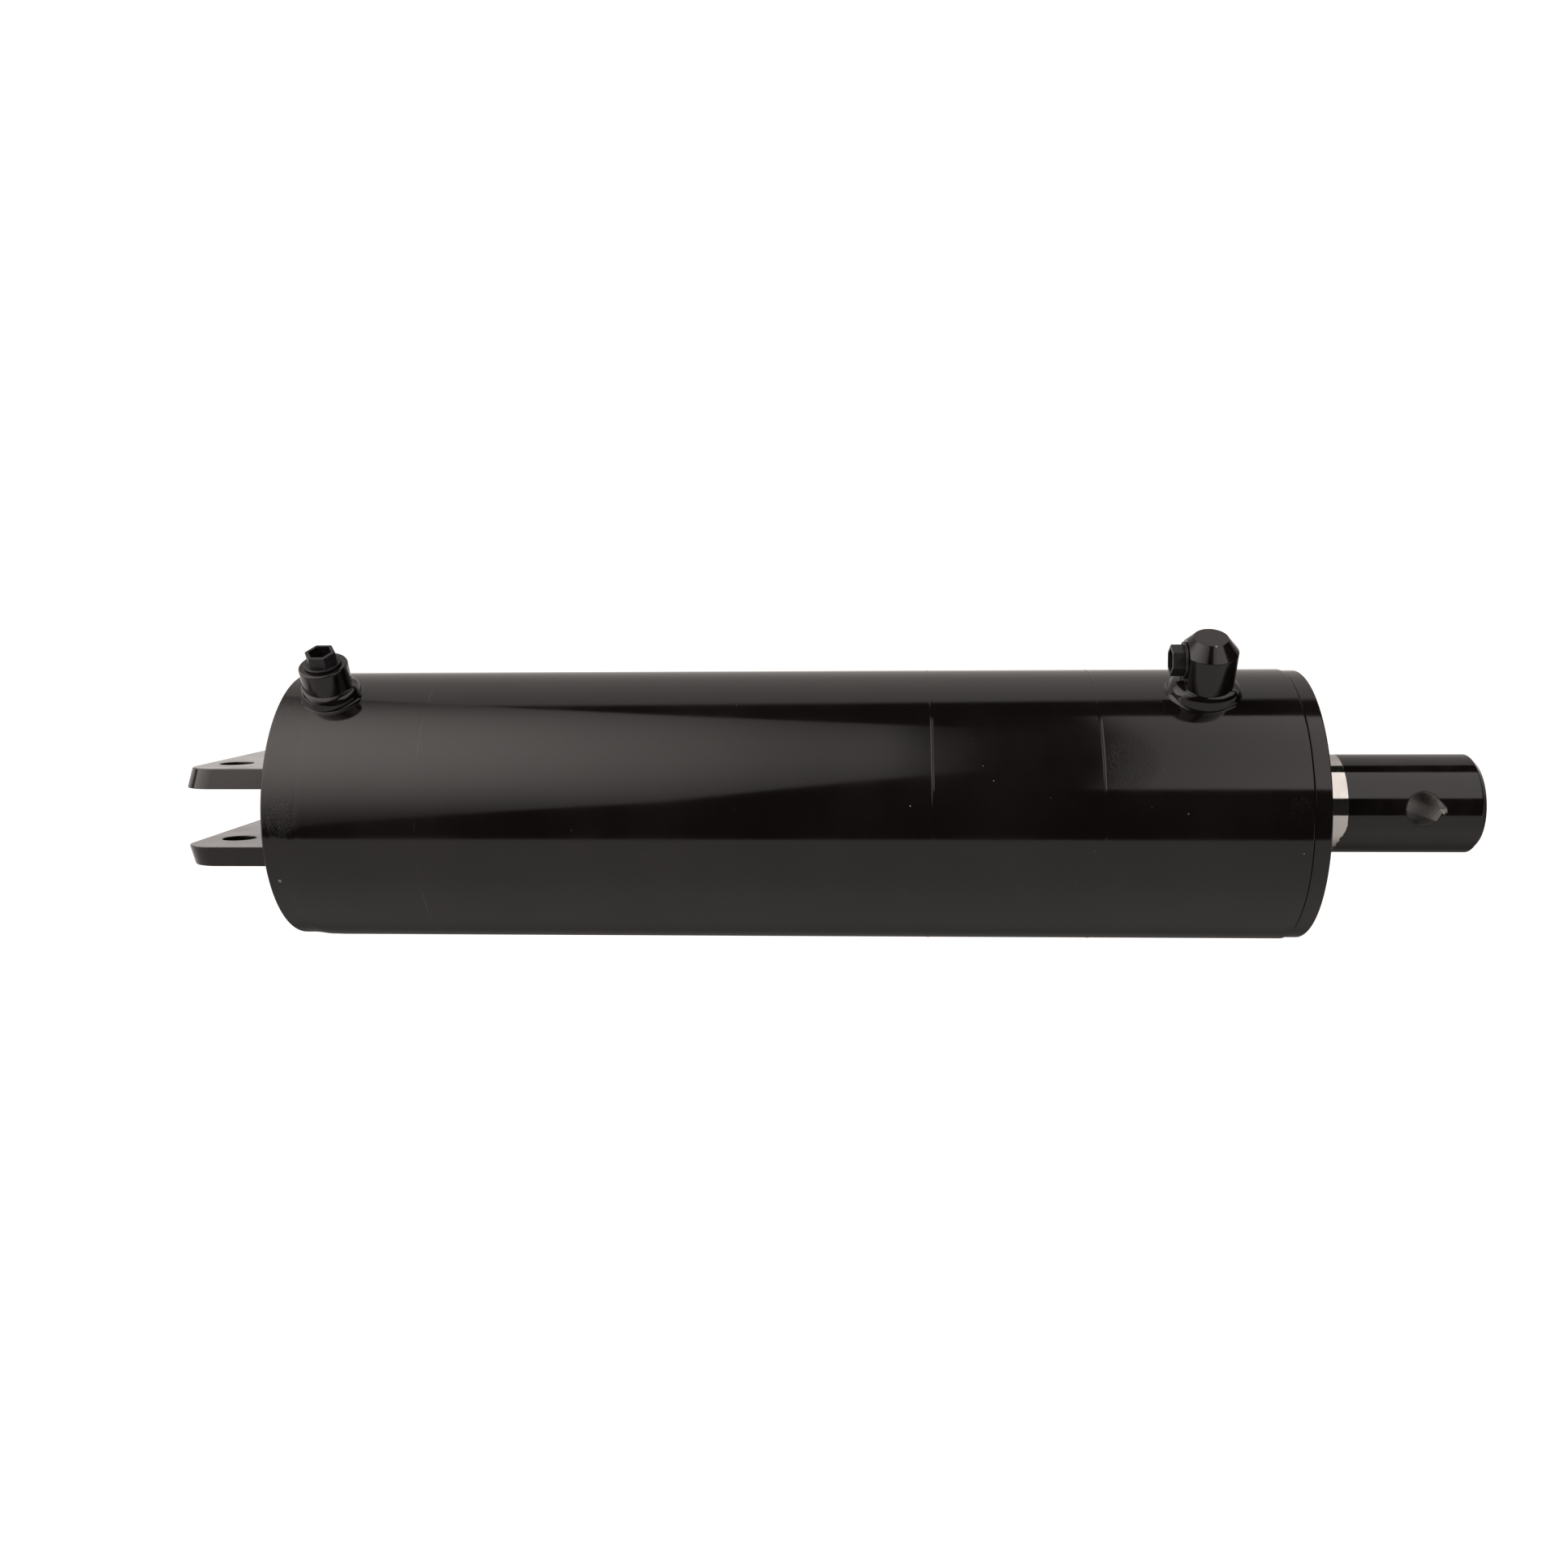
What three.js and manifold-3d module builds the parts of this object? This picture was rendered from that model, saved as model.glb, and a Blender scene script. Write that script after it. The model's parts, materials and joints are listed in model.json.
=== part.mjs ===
// A welded hydraulic cylinder with a two-plate bolted clevis at the base, a screwed-in gland head,
// and a chromed rod that ends in a painted eye with a cross hole.
//
// Millimetres. The origin is the centre of the clevis: on the line of its bolt holes, midway
// between the plates, on the cylinder's axis. +X runs along the axis towards the rod end,
// +Z is square to the clevis plates, and the rod is fully retracted.

import * as THREE from 'three';
import { mergeVertices } from 'three/addons/utils/BufferGeometryUtils.js';
import Module from 'manifold-3d';

const wasm = await Module();
wasm.setup();

// ---------------------------------------------------------------- driving dimensions

const TUBE_OD = 139.7;
const TUBE_ID = 127;
const ROD_D = 50.8;
const STROKE = 355.6;

const BOLT_LINE_TO_CAP = 27;
const BARREL_LENGTH = 510.5;
const FLANGE_THICKNESS = 8.6;
const ROD_STICK_OUT = 90.2;

const PLATE_GAP = 29;
const PLATE_THICKNESS = 10;
const PLATE_WIDTH = 123.2;
const PLATE_OVERHANG = 18.2;
const PLATE_CORNER_R = 11;
const PLATE_RIM_TAPER = 2;
const BOLT_SPACING = 62.4;
const BOLT_HOLE_D = 16.7;

const CAP_LIP = 4;
const CAP_WELD_END = 17.5;
const CAP_WELD_RISE_START = 8.7;
const CAP_WELD_RISE_END = 13.6;
const CAP_THICKNESS = 18;
const CAP_R = 68.5;

const PORT_ANGLE = THREE.MathUtils.degToRad(30);
const BASE_PORT_FROM_CAP = 24.4;
const ROD_PORT_FROM_CAP = 465;
const PORT_R = 12.25;
const PORT_THREAD_R = 7.8;
const PORT_THREAD_DEPTH = 13;
const PORT_WATERWAY_R = 5.5;
const BASE_BOSS_HEIGHT = 17.6;
const ELBOW_R = 14.1;
const ELBOW_HEIGHT = 30.7;
const ELBOW_CONE_HEIGHT = 6.9;
const ELBOW_CONE_TOP_R = 8.3;
const ELBOW_FLAT = 10.8;
const ELBOW_MOUTH_HEIGHT = 17.8;
const BASE_PORT_WELD = { height: 7.2, toeR: 15.5, overlap: 1.2 };
const ROD_PORT_WELD = { height: 7, toeR: 16.6, overlap: 2.6 };

const PLUG_FLANGE_R = 9.2;
const PLUG_FLANGE_T = 1.2;
const PLUG_HEX_R = 7.85;
const PLUG_HEX_HEIGHT = 5.9;
const PLUG_SOCKET_R = 5.95;
const PLUG_SHANK_LENGTH = 9;
const PLUG_SOCKET_DEPTH = 11;

const PIN_HOLE_D = 17;
const PIN_HOLE_FROM_ROD_END = 31.9;
const ROD_END_CHAMFER = 3;

const PISTON_LENGTH = 55;
const NUT_THICKNESS = 23;
const NUT_CORNER_R = 34.6;
const PILOT_R = 20;
const STOP_GAP = 1;

const SPANNER_HOLE_R = 4;
const SPANNER_HOLE_DEPTH = 7;
const SPANNER_CIRCLE_R = 47;
const SPANNER_HOLES = 4;

const EDGE_CHAMFER = 1;
const DRESSED_EDGE = 0.15;
const GAP = 0.3;
const SEAL_CLEARANCE = 0.2;
const BIG_SEGMENTS = 48;
const ROD_SEGMENTS = 48;
const PORT_SEGMENTS = 32;

// ---------------------------------------------------------------- places worked out from them

const TUBE_R = TUBE_OD / 2;
const BORE_R = TUBE_ID / 2;
const ROD_R = ROD_D / 2;

const CAP_X = BOLT_LINE_TO_CAP;
const CAP_INNER_X = CAP_X + CAP_THICKNESS;
const TUBE_END_X = CAP_X + BARREL_LENGTH;
const GLAND_FACE_X = TUBE_END_X + FLANGE_THICKNESS;
const ROD_END_X = GLAND_FACE_X + ROD_STICK_OUT;
const PIN_HOLE_X = ROD_END_X - PIN_HOLE_FROM_ROD_END;

const NUT_X = CAP_INNER_X + STOP_GAP;
const PISTON_X = NUT_X + NUT_THICKNESS + GAP;
const PISTON_FRONT_X = PISTON_X + PISTON_LENGTH;
const GLAND_NOSE_X = PISTON_FRONT_X + STROKE + STOP_GAP;

const BASE_PORT_X = CAP_X + BASE_PORT_FROM_CAP;
const ROD_PORT_X = CAP_X + ROD_PORT_FROM_CAP;
const GLAND_LAND_X = ROD_PORT_X + PORT_WATERWAY_R + 6;

const PISTON_R = BORE_R - 0.35;
const RING_R = BORE_R - SEAL_CLEARANCE;
const GLAND_BORE_R = ROD_R + GAP;
const ROD_RING_R = ROD_R + SEAL_CLEARANCE + 0.05;

// ---------------------------------------------------------------- shape helpers

const AXIS_X = new THREE.Vector3(1, 0, 0);
const PORT_OUT = new THREE.Vector3(0, -Math.sin(PORT_ANGLE), Math.cos(PORT_ANGLE));
const PORT_SIDE = new THREE.Vector3(0, -Math.cos(PORT_ANGLE), -Math.sin(PORT_ANGLE));

/** Twice the signed area of a closed outline of [u, v] pairs. */
function signedArea(outline) {
  return outline.reduce((sum, [u, v], i) => {
    const [nextU, nextV] = outline[(i + 1) % outline.length];
    return sum + u * nextV - nextU * v;
  }, 0);
}

/** A turned solid about +Y, from an outline of [along, radius] pairs. */
function turnedAboutY(outline, segments) {
  const points = outline.map(([along, radius]) => new THREE.Vector2(radius, along));
  const counterClockwise = signedArea(points.map((p) => [p.x, p.y])) > 0;
  if (!counterClockwise) points.reverse();
  points.push(points[0].clone());
  return new THREE.LatheGeometry(points, segments);
}

/** A turned solid about the cylinder's axis, +X. */
function turned(outline, segments = BIG_SEGMENTS) {
  return turnedAboutY(outline, segments).rotateZ(-Math.PI / 2);
}

/** A ring of rectangular section about the cylinder's axis. */
function ring(x0, x1, innerR, outerR, segments = BIG_SEGMENTS) {
  return turned([[x0, innerR], [x0, outerR], [x1, outerR], [x1, innerR]], segments);
}

/** An O-ring about the cylinder's axis. */
function oRing(x, middleR, cordR) {
  return new THREE.TorusGeometry(middleR, cordR, 6, BIG_SEGMENTS).rotateY(Math.PI / 2).translate(x, 0, 0);
}

/** A round bar from one point to another, or one with corners if its segments are few. */
function bar(from, to, radius, segments = PORT_SEGMENTS, endRadius = radius, spin = 0) {
  const along = to.clone().sub(from);
  const geometry = new THREE.CylinderGeometry(endRadius, radius, along.length(), segments).rotateY(spin);
  const turn = new THREE.Quaternion().setFromUnitVectors(new THREE.Vector3(0, 1, 0), along.clone().normalize());
  const middle = from.clone().add(to).multiplyScalar(0.5);
  return geometry.applyQuaternion(turn).translate(middle.x, middle.y, middle.z);
}

/** A point at a place along the axis and a distance out from it, in the direction the ports face. */
function portPoint(x, radius) {
  return AXIS_X.clone().multiplyScalar(x).addScaledVector(PORT_OUT, radius);
}

/** A closed skin over rings of points. The rings either wrap round or end in flat convex caps. */
function loft(rings, wrap) {
  const size = rings[0].length;
  const positions = rings.flat().flatMap((p) => [p.x, p.y, p.z]);
  const faces = [];
  const spans = wrap ? rings.length : rings.length - 1;
  for (let i = 0; i < spans; i += 1) {
    const near = i * size;
    const far = ((i + 1) % rings.length) * size;
    for (let j = 0; j < size; j += 1) {
      const next = (j + 1) % size;
      faces.push(near + j, near + next, far + next, near + j, far + next, far + j);
    }
  }
  if (!wrap) {
    const last = (rings.length - 1) * size;
    for (let j = 1; j < size - 1; j += 1) {
      faces.push(0, j + 1, j);
      faces.push(last, last + j, last + j + 1);
    }
  }
  const geometry = new THREE.BufferGeometry();
  geometry.setAttribute('position', new THREE.Float32BufferAttribute(positions, 3));
  geometry.setIndex(faces);
  return geometry;
}

/** A three.js geometry as a solid for joining and cutting. */
function solid(geometry) {
  const bare = geometry.clone();
  bare.deleteAttribute('normal');
  bare.deleteAttribute('uv');
  const merged = mergeVertices(bare, 1e-4);
  const kept = [];
  const index = merged.index.array;
  for (let i = 0; i < index.length; i += 3) {
    const [a, b, c] = [index[i], index[i + 1], index[i + 2]];
    if (a !== b && b !== c && c !== a) kept.push(a, b, c);
  }
  const vertProperties = new Float32Array(merged.attributes.position.array);
  const triVerts = new Uint32Array(kept);
  return new wasm.Manifold(new wasm.Mesh({ numProp: 3, vertProperties, triVerts }));
}

/** A solid as a three.js geometry. */
function geometryOf(body) {
  const mesh = body.getMesh();
  const geometry = new THREE.BufferGeometry();
  geometry.setAttribute('position', new THREE.BufferAttribute(new Float32Array(mesh.vertProperties), 3));
  geometry.setIndex(new THREE.BufferAttribute(new Uint32Array(mesh.triVerts), 1));
  geometry.computeVertexNormals();
  return geometry;
}

/** A geometry with others joined to it and then others cut from it. */
function shaped(geometry, { join = [], cut = [] }) {
  let body = solid(geometry);
  for (const piece of join) body = body.add(solid(piece));
  for (const piece of cut) body = body.subtract(solid(piece));
  return geometryOf(body);
}

// ---------------------------------------------------------------- barrel and base

/** The bevelled joint between cap and tube: its two rims and its root. */
const JOINT = {
  capRimX: CAP_X + CAP_LIP,
  tubeRimX: CAP_X + CAP_WELD_END,
  rootX: CAP_X + (CAP_LIP + CAP_WELD_END) / 2,
  rootR: BORE_R + 0.9,
  rootHalfWidth: 1.2,
};

function barrelTube() {
  const tube = turned([
    [JOINT.rootX + JOINT.rootHalfWidth, BORE_R],
    [JOINT.rootX + JOINT.rootHalfWidth, JOINT.rootR],
    [JOINT.tubeRimX, TUBE_R - DRESSED_EDGE],
    [JOINT.tubeRimX + 4, TUBE_R],
    [TUBE_END_X - EDGE_CHAMFER, TUBE_R],
    [TUBE_END_X, TUBE_R - EDGE_CHAMFER],
    [TUBE_END_X, BORE_R],
  ]);
  const ports = [BASE_PORT_X, ROD_PORT_X].map((x) => (
    bar(portPoint(x, BORE_R - 5), portPoint(x, TUBE_R + 5), PORT_WATERWAY_R, 24)
  ));
  return shaped(tube, { cut: ports });
}

function baseCap() {
  return turned([
    [CAP_X, 0],
    [CAP_X, CAP_R - EDGE_CHAMFER],
    [CAP_X + EDGE_CHAMFER, CAP_R],
    [JOINT.capRimX - GAP, CAP_R],
    [JOINT.rootX - JOINT.rootHalfWidth - GAP, BORE_R - GAP],
    [CAP_INNER_X, BORE_R - GAP],
    [CAP_INNER_X, 0],
  ]);
}

/** The dressed weld: flush with the smaller cap at one rim, and rising to the tube at the other. */
function baseWeld() {
  return turned([
    [JOINT.rootX - JOINT.rootHalfWidth + GAP, JOINT.rootR],
    [JOINT.capRimX, CAP_R],
    [CAP_X + CAP_WELD_RISE_START, CAP_R],
    [CAP_X + CAP_WELD_RISE_END, TUBE_R - 2 * DRESSED_EDGE],
    [JOINT.tubeRimX - GAP, TUBE_R - DRESSED_EDGE],
    [JOINT.rootX + JOINT.rootHalfWidth - GAP, JOINT.rootR],
  ]);
}

// ---------------------------------------------------------------- clevis

/** The plate's outline at one height, drawn in by an inset: square at the cap, rounded outside. */
function plateOutline(inset, z) {
  const capEdge = CAP_X - GAP;
  const outerEdge = -PLATE_OVERHANG + inset;
  const side = PLATE_WIDTH / 2 - inset;
  const shape = new THREE.Shape();
  shape.moveTo(capEdge, -side);
  shape.lineTo(capEdge, side);
  shape.lineTo(outerEdge + PLATE_CORNER_R, side);
  shape.absarc(outerEdge + PLATE_CORNER_R, side - PLATE_CORNER_R, PLATE_CORNER_R, Math.PI / 2, Math.PI);
  shape.absarc(outerEdge + PLATE_CORNER_R, PLATE_CORNER_R - side, PLATE_CORNER_R, Math.PI, Math.PI * 1.5);
  const points = shape.getPoints(8);
  const unique = points.filter((p, i) => i === 0 || p.distanceTo(points[i - 1]) > 1e-3);
  return unique.map((p) => new THREE.Vector3(p.x, p.y, z));
}

/** A clevis plate. The rim slopes, so the face towards the gap is the larger one. */
function clevisPlate(sign) {
  const innerZ = PLATE_GAP / 2;
  const outerZ = innerZ + PLATE_THICKNESS;
  const rings = [plateOutline(0, sign * innerZ), plateOutline(PLATE_RIM_TAPER, sign * outerZ)];
  if (sign < 0) rings.reverse();
  const holes = [-1, 1].map((side) => {
    const y = (side * BOLT_SPACING) / 2;
    const low = new THREE.Vector3(0, y, sign * (innerZ - 5));
    const high = new THREE.Vector3(0, y, sign * (outerZ + 5));
    return bar(low, high, BOLT_HOLE_D / 2);
  });
  return shaped(loft(rings, false), { cut: holes });
}

/** A fillet bead in the corner between a clevis plate's outer face and the cap, its ends tapering out. */
function clevisWeld(sign) {
  const leg = 6;
  const halfLength = 46;
  const cornerZ = PLATE_GAP / 2 + PLATE_THICKNESS + GAP;
  const cornerX = CAP_X - GAP;
  const sections = 13;
  const rings = [];
  for (let i = 0; i < sections; i += 1) {
    const t = (2 * i) / (sections - 1) - 1;
    const size = leg * Math.sqrt(1 - 0.94 * t ** 8);
    const section = [
      [cornerX, cornerZ],
      [cornerX - size, cornerZ],
      [cornerX - size * 0.42, cornerZ + size * 0.42],
      [cornerX, cornerZ + size],
    ];
    rings.push(section.map(([x, z]) => new THREE.Vector3(x, halfLength * t, sign * z)));
  }
  if (sign < 0) rings.reverse();
  return loft(rings, false);
}

// ---------------------------------------------------------------- ports

/** The tube's own surface as a bar, for cutting a port piece to sit on it. */
function tubeSurface(x) {
  const reach = 40;
  return turned([[x - reach, 0], [x - reach, TUBE_R + GAP], [x + reach, TUBE_R + GAP], [x + reach, 0]]);
}

function basePortBoss() {
  const top = TUBE_R + BASE_BOSS_HEIGHT;
  const rimStart = top - EDGE_CHAMFER;
  const outside = bar(portPoint(BASE_PORT_X, TUBE_R - 6), portPoint(BASE_PORT_X, rimStart), PORT_R);
  const rim = bar(
    portPoint(BASE_PORT_X, rimStart),
    portPoint(BASE_PORT_X, top),
    PORT_R,
    PORT_SEGMENTS,
    PORT_R - EDGE_CHAMFER,
  );
  const thread = bar(
    portPoint(BASE_PORT_X, top - PORT_THREAD_DEPTH),
    portPoint(BASE_PORT_X, top + 5),
    PORT_THREAD_R,
  );
  const waterway = bar(portPoint(BASE_PORT_X, TUBE_R - 10), portPoint(BASE_PORT_X, top), PORT_WATERWAY_R);
  return shaped(outside, { join: [rim], cut: [tubeSurface(BASE_PORT_X), thread, waterway] });
}

/** The rod port's elbow: a coned bar that stands on the tube, milled flat on the side of its mouth. */
function rodPortElbow() {
  const top = TUBE_R + ELBOW_HEIGHT;
  const mouthR = TUBE_R + ELBOW_MOUTH_HEIGHT;
  const mouthX = ROD_PORT_X - ELBOW_FLAT;
  const outline = [
    [TUBE_R - 6, 0],
    [TUBE_R - 6, ELBOW_R],
    [top - ELBOW_CONE_HEIGHT, ELBOW_R],
    [top, ELBOW_CONE_TOP_R],
    [top, 0],
  ];
  const stand = new THREE.Quaternion().setFromUnitVectors(new THREE.Vector3(0, 1, 0), PORT_OUT);
  const upright = turnedAboutY(outline, PORT_SEGMENTS).applyQuaternion(stand).translate(ROD_PORT_X, 0, 0);
  const milled = bar(portPoint(mouthX, TUBE_R), portPoint(mouthX - 20, TUBE_R), 50, 4);
  const thread = bar(portPoint(mouthX + PORT_THREAD_DEPTH, mouthR), portPoint(mouthX - 5, mouthR), PORT_THREAD_R);
  const waterway = bar(portPoint(ROD_PORT_X, TUBE_R - 10), portPoint(ROD_PORT_X, mouthR), PORT_WATERWAY_R);
  return shaped(upright, { cut: [tubeSurface(ROD_PORT_X), milled, thread, waterway] });
}

/** A hollow fillet bead round a port. inner(angle) and toe(angle) are how far out it starts and ends. */
function portWeld(x, height, inner, toe) {
  const rings = [];
  const sections = 36;
  for (let i = 0; i < sections; i += 1) {
    const angle = (-2 * Math.PI * i) / sections;
    const innerR = inner(angle) + GAP;
    const toeR = toe(angle);
    const place = (radius, lift) => {
      const across = radius * Math.sin(angle);
      const surface = Math.sqrt((TUBE_R + GAP) ** 2 - across ** 2);
      return portPoint(x + radius * Math.cos(angle), surface + lift).addScaledVector(PORT_SIDE, across);
    };
    const middleR = innerR + (toeR - innerR) * 0.38;
    rings.push([
      place(innerR, 0),
      place(innerR, height),
      place(middleR, height * 0.42),
      place(toeR, 0.5),
      place(toeR, 0),
    ]);
  }
  return loft(rings, true);
}

function basePortWeld() {
  const { height, toeR, overlap } = BASE_PORT_WELD;
  return portWeld(
    BASE_PORT_X,
    height,
    () => PORT_R,
    (angle) => toeR + overlap * Math.cos(angle),
  );
}

function rodPortWeld() {
  const { height, toeR, overlap } = ROD_PORT_WELD;
  return portWeld(
    ROD_PORT_X,
    height,
    (angle) => Math.min(ELBOW_R, ELBOW_FLAT / Math.max(-Math.cos(angle), 0.1)),
    (angle) => toeR + overlap * Math.cos(angle) ** 2,
  );
}

/** A hexagonal prism between two points, turned about its length by spin. */
function hexBar(from, to, cornerR, spin = 0) {
  return bar(from, to, cornerR, 6, cornerR, spin);
}

/** A moulded screw plug: threaded shank, round flange and a hollow hexagon. */
function portPlug(seat, out, spin) {
  const at = (distance) => seat.clone().addScaledVector(out, distance);
  const flangeTop = GAP + PLUG_FLANGE_T;
  const top = flangeTop + PLUG_HEX_HEIGHT;
  const shank = bar(at(-PLUG_SHANK_LENGTH), at(flangeTop), PORT_THREAD_R - GAP);
  const flange = bar(at(GAP), at(flangeTop), PLUG_FLANGE_R);
  const hexagon = hexBar(at(GAP + 0.5), at(top), PLUG_HEX_R, spin);
  const socket = hexBar(at(top - PLUG_SOCKET_DEPTH), at(top + 5), PLUG_SOCKET_R, spin);
  return shaped(shank, { join: [flange, hexagon], cut: [socket] });
}

/** The base plug stands with two corners along the cylinder. */
function basePortPlug() {
  return portPlug(portPoint(BASE_PORT_X, TUBE_R + BASE_BOSS_HEIGHT), PORT_OUT, Math.PI / 6);
}

/** The elbow's plug stands with two corners up and down. */
function rodPortPlug() {
  const mouth = portPoint(ROD_PORT_X - ELBOW_FLAT, TUBE_R + ELBOW_MOUTH_HEIGHT);
  return portPlug(mouth, AXIS_X.clone().negate(), 0);
}

// ---------------------------------------------------------------- gland and its seals

/** Where each groove of the gland runs along the axis. */
const GLAND_GROOVES = {
  oRing: [GLAND_LAND_X + 5, GLAND_LAND_X + 11],
  wearRing: [GLAND_NOSE_X + 5, GLAND_NOSE_X + 20],
  rodSeal: [TUBE_END_X - 24, TUBE_END_X - 14],
  wiper: [GLAND_FACE_X - 7, GLAND_FACE_X],
};
const O_RING_FLOOR_R = BORE_R - 5;
const WEAR_RING_FLOOR_R = ROD_R + 3;
const ROD_SEAL_FLOOR_R = ROD_R + 7;
const WIPER_FLOOR_R = ROD_R + 5.5;
const FLANGE_R = TUBE_R - 0.65;

function glandHead() {
  const groove = ([x0, x1], floorR, openR) => [[x0, openR], [x0, floorR], [x1, floorR], [x1, openR]];
  const land = BORE_R - GAP;
  const noseR = BORE_R - 7;
  const body = turned([
    [GLAND_NOSE_X, noseR],
    [GLAND_LAND_X, noseR],
    [GLAND_LAND_X, land],
    ...groove(GLAND_GROOVES.oRing, O_RING_FLOOR_R, land),
    [TUBE_END_X + GAP, land],
    [TUBE_END_X + GAP, FLANGE_R - 0.6],
    [TUBE_END_X + GAP + 0.6, FLANGE_R],
    [GLAND_FACE_X - EDGE_CHAMFER, FLANGE_R],
    [GLAND_FACE_X, FLANGE_R - EDGE_CHAMFER],
    [GLAND_FACE_X, WIPER_FLOOR_R],
    [GLAND_GROOVES.wiper[0], WIPER_FLOOR_R],
    [GLAND_GROOVES.wiper[0], GLAND_BORE_R],
    ...groove(GLAND_GROOVES.rodSeal, ROD_SEAL_FLOOR_R, GLAND_BORE_R).reverse(),
    ...groove(GLAND_GROOVES.wearRing, WEAR_RING_FLOOR_R, GLAND_BORE_R).reverse(),
    [GLAND_NOSE_X, GLAND_BORE_R],
  ]);
  const holes = [];
  for (let i = 0; i < SPANNER_HOLES; i += 1) {
    const angle = (2 * Math.PI * (i + 0.5)) / SPANNER_HOLES;
    const y = SPANNER_CIRCLE_R * Math.cos(angle);
    const z = SPANNER_CIRCLE_R * Math.sin(angle);
    const bottom = new THREE.Vector3(GLAND_FACE_X - SPANNER_HOLE_DEPTH, y, z);
    holes.push(bar(bottom, new THREE.Vector3(GLAND_FACE_X + 5, y, z), SPANNER_HOLE_R, 16));
  }
  return shaped(body, { cut: holes });
}

function glandORing() {
  const [x0] = GLAND_GROOVES.oRing;
  const cordR = 1.75;
  return oRing(x0 + GAP + cordR, RING_R - cordR - 0.4, cordR);
}

function glandBackupRing() {
  const [, x1] = GLAND_GROOVES.oRing;
  return ring(x1 - GAP - 1.4, x1 - GAP, O_RING_FLOOR_R + GAP, RING_R - 0.1);
}

function rodWearRing() {
  const [x0, x1] = GLAND_GROOVES.wearRing;
  return ring(x0 + GAP, x1 - GAP, ROD_RING_R, WEAR_RING_FLOOR_R - GAP, ROD_SEGMENTS);
}

/** A U-cup: a ring with two lips and a groove between them that faces the oil. */
function rodSeal() {
  const [x0, x1] = GLAND_GROOVES.rodSeal;
  const inner = ROD_RING_R;
  const outer = ROD_SEAL_FLOOR_R - GAP;
  const middle = (inner + outer) / 2;
  return turned([
    [x0 + GAP, inner],
    [x0 + GAP, middle - 1.4],
    [x0 + 4, middle],
    [x0 + GAP, middle + 1.4],
    [x0 + GAP, outer],
    [x1 - GAP, outer],
    [x1 - GAP, inner],
  ], ROD_SEGMENTS);
}

/** A wiper: a ring in its groove, with a lip that leans out over the rod. */
function rodWiper() {
  const [x0, x1] = GLAND_GROOVES.wiper;
  const outer = WIPER_FLOOR_R - GAP;
  return turned([
    [x0 + GAP, ROD_RING_R + 1.6],
    [x0 + GAP, outer],
    [x1 - 1.2, outer],
    [x1 - 0.6, outer - 1],
    [x1 - 0.6, outer - 2],
    [x1 + 1.8, ROD_RING_R + 0.9],
    [x1 + 1.8, ROD_RING_R],
    [x1 - 2.6, ROD_RING_R + 1.6],
  ], ROD_SEGMENTS);
}

// ---------------------------------------------------------------- piston and rod

/** Where each groove of the piston runs along the axis. */
const PISTON_GROOVES = {
  rearWearRing: [PISTON_X + 4, PISTON_X + 15],
  seal: [PISTON_X + 22, PISTON_X + 33],
  frontWearRing: [PISTON_X + 40, PISTON_X + 51],
};
const PISTON_WEAR_FLOOR_R = BORE_R - 3;
const PISTON_SEAL_FLOOR_R = BORE_R - 8;
const PILOT_RING_X = PISTON_X + 27.5;

function piston() {
  const groove = ([x0, x1], floorR) => [[x0, PISTON_R], [x0, floorR], [x1, floorR], [x1, PISTON_R]];
  const boreR = PILOT_R + GAP;
  return turned([
    [PISTON_X, boreR],
    [PISTON_X, PISTON_R - 1.5],
    [PISTON_X + 1.5, PISTON_R],
    ...groove(PISTON_GROOVES.rearWearRing, PISTON_WEAR_FLOOR_R),
    ...groove(PISTON_GROOVES.seal, PISTON_SEAL_FLOOR_R),
    ...groove(PISTON_GROOVES.frontWearRing, PISTON_WEAR_FLOOR_R),
    [PISTON_FRONT_X - 1.5, PISTON_R],
    [PISTON_FRONT_X, PISTON_R - 1.5],
    [PISTON_FRONT_X, boreR],
    [PILOT_RING_X + 2.2, boreR],
    [PILOT_RING_X + 2.2, boreR + 3.2],
    [PILOT_RING_X - 2.2, boreR + 3.2],
    [PILOT_RING_X - 2.2, boreR],
  ]);
}

function pistonORing() {
  const cordR = 1.4;
  return oRing(PILOT_RING_X, PILOT_R + 2 * GAP + cordR, cordR);
}

function pistonWearRing([x0, x1]) {
  return ring(x0 + GAP, x1 - GAP, PISTON_WEAR_FLOOR_R + GAP, RING_R);
}

function pistonSeal() {
  const [x0, x1] = PISTON_GROOVES.seal;
  const inner = PISTON_SEAL_FLOOR_R + GAP;
  return turned([
    [x0 + GAP, inner],
    [x0 + GAP, RING_R - 1.2],
    [x0 + 3.5, RING_R - 1.2],
    [x0 + 4.2, RING_R],
    [x1 - 4.2, RING_R],
    [x1 - 3.5, RING_R - 1.2],
    [x1 - GAP, RING_R - 1.2],
    [x1 - GAP, inner],
  ]);
}

function pistonNut() {
  const start = new THREE.Vector3(NUT_X, 0, 0);
  const end = new THREE.Vector3(NUT_X + NUT_THICKNESS, 0, 0);
  const before = new THREE.Vector3(NUT_X - 5, 0, 0);
  const after = new THREE.Vector3(NUT_X + NUT_THICKNESS + 5, 0, 0);
  return shaped(hexBar(start, end, NUT_CORNER_R), { cut: [bar(before, after, PILOT_R - 0.7, ROD_SEGMENTS)] });
}

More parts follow.
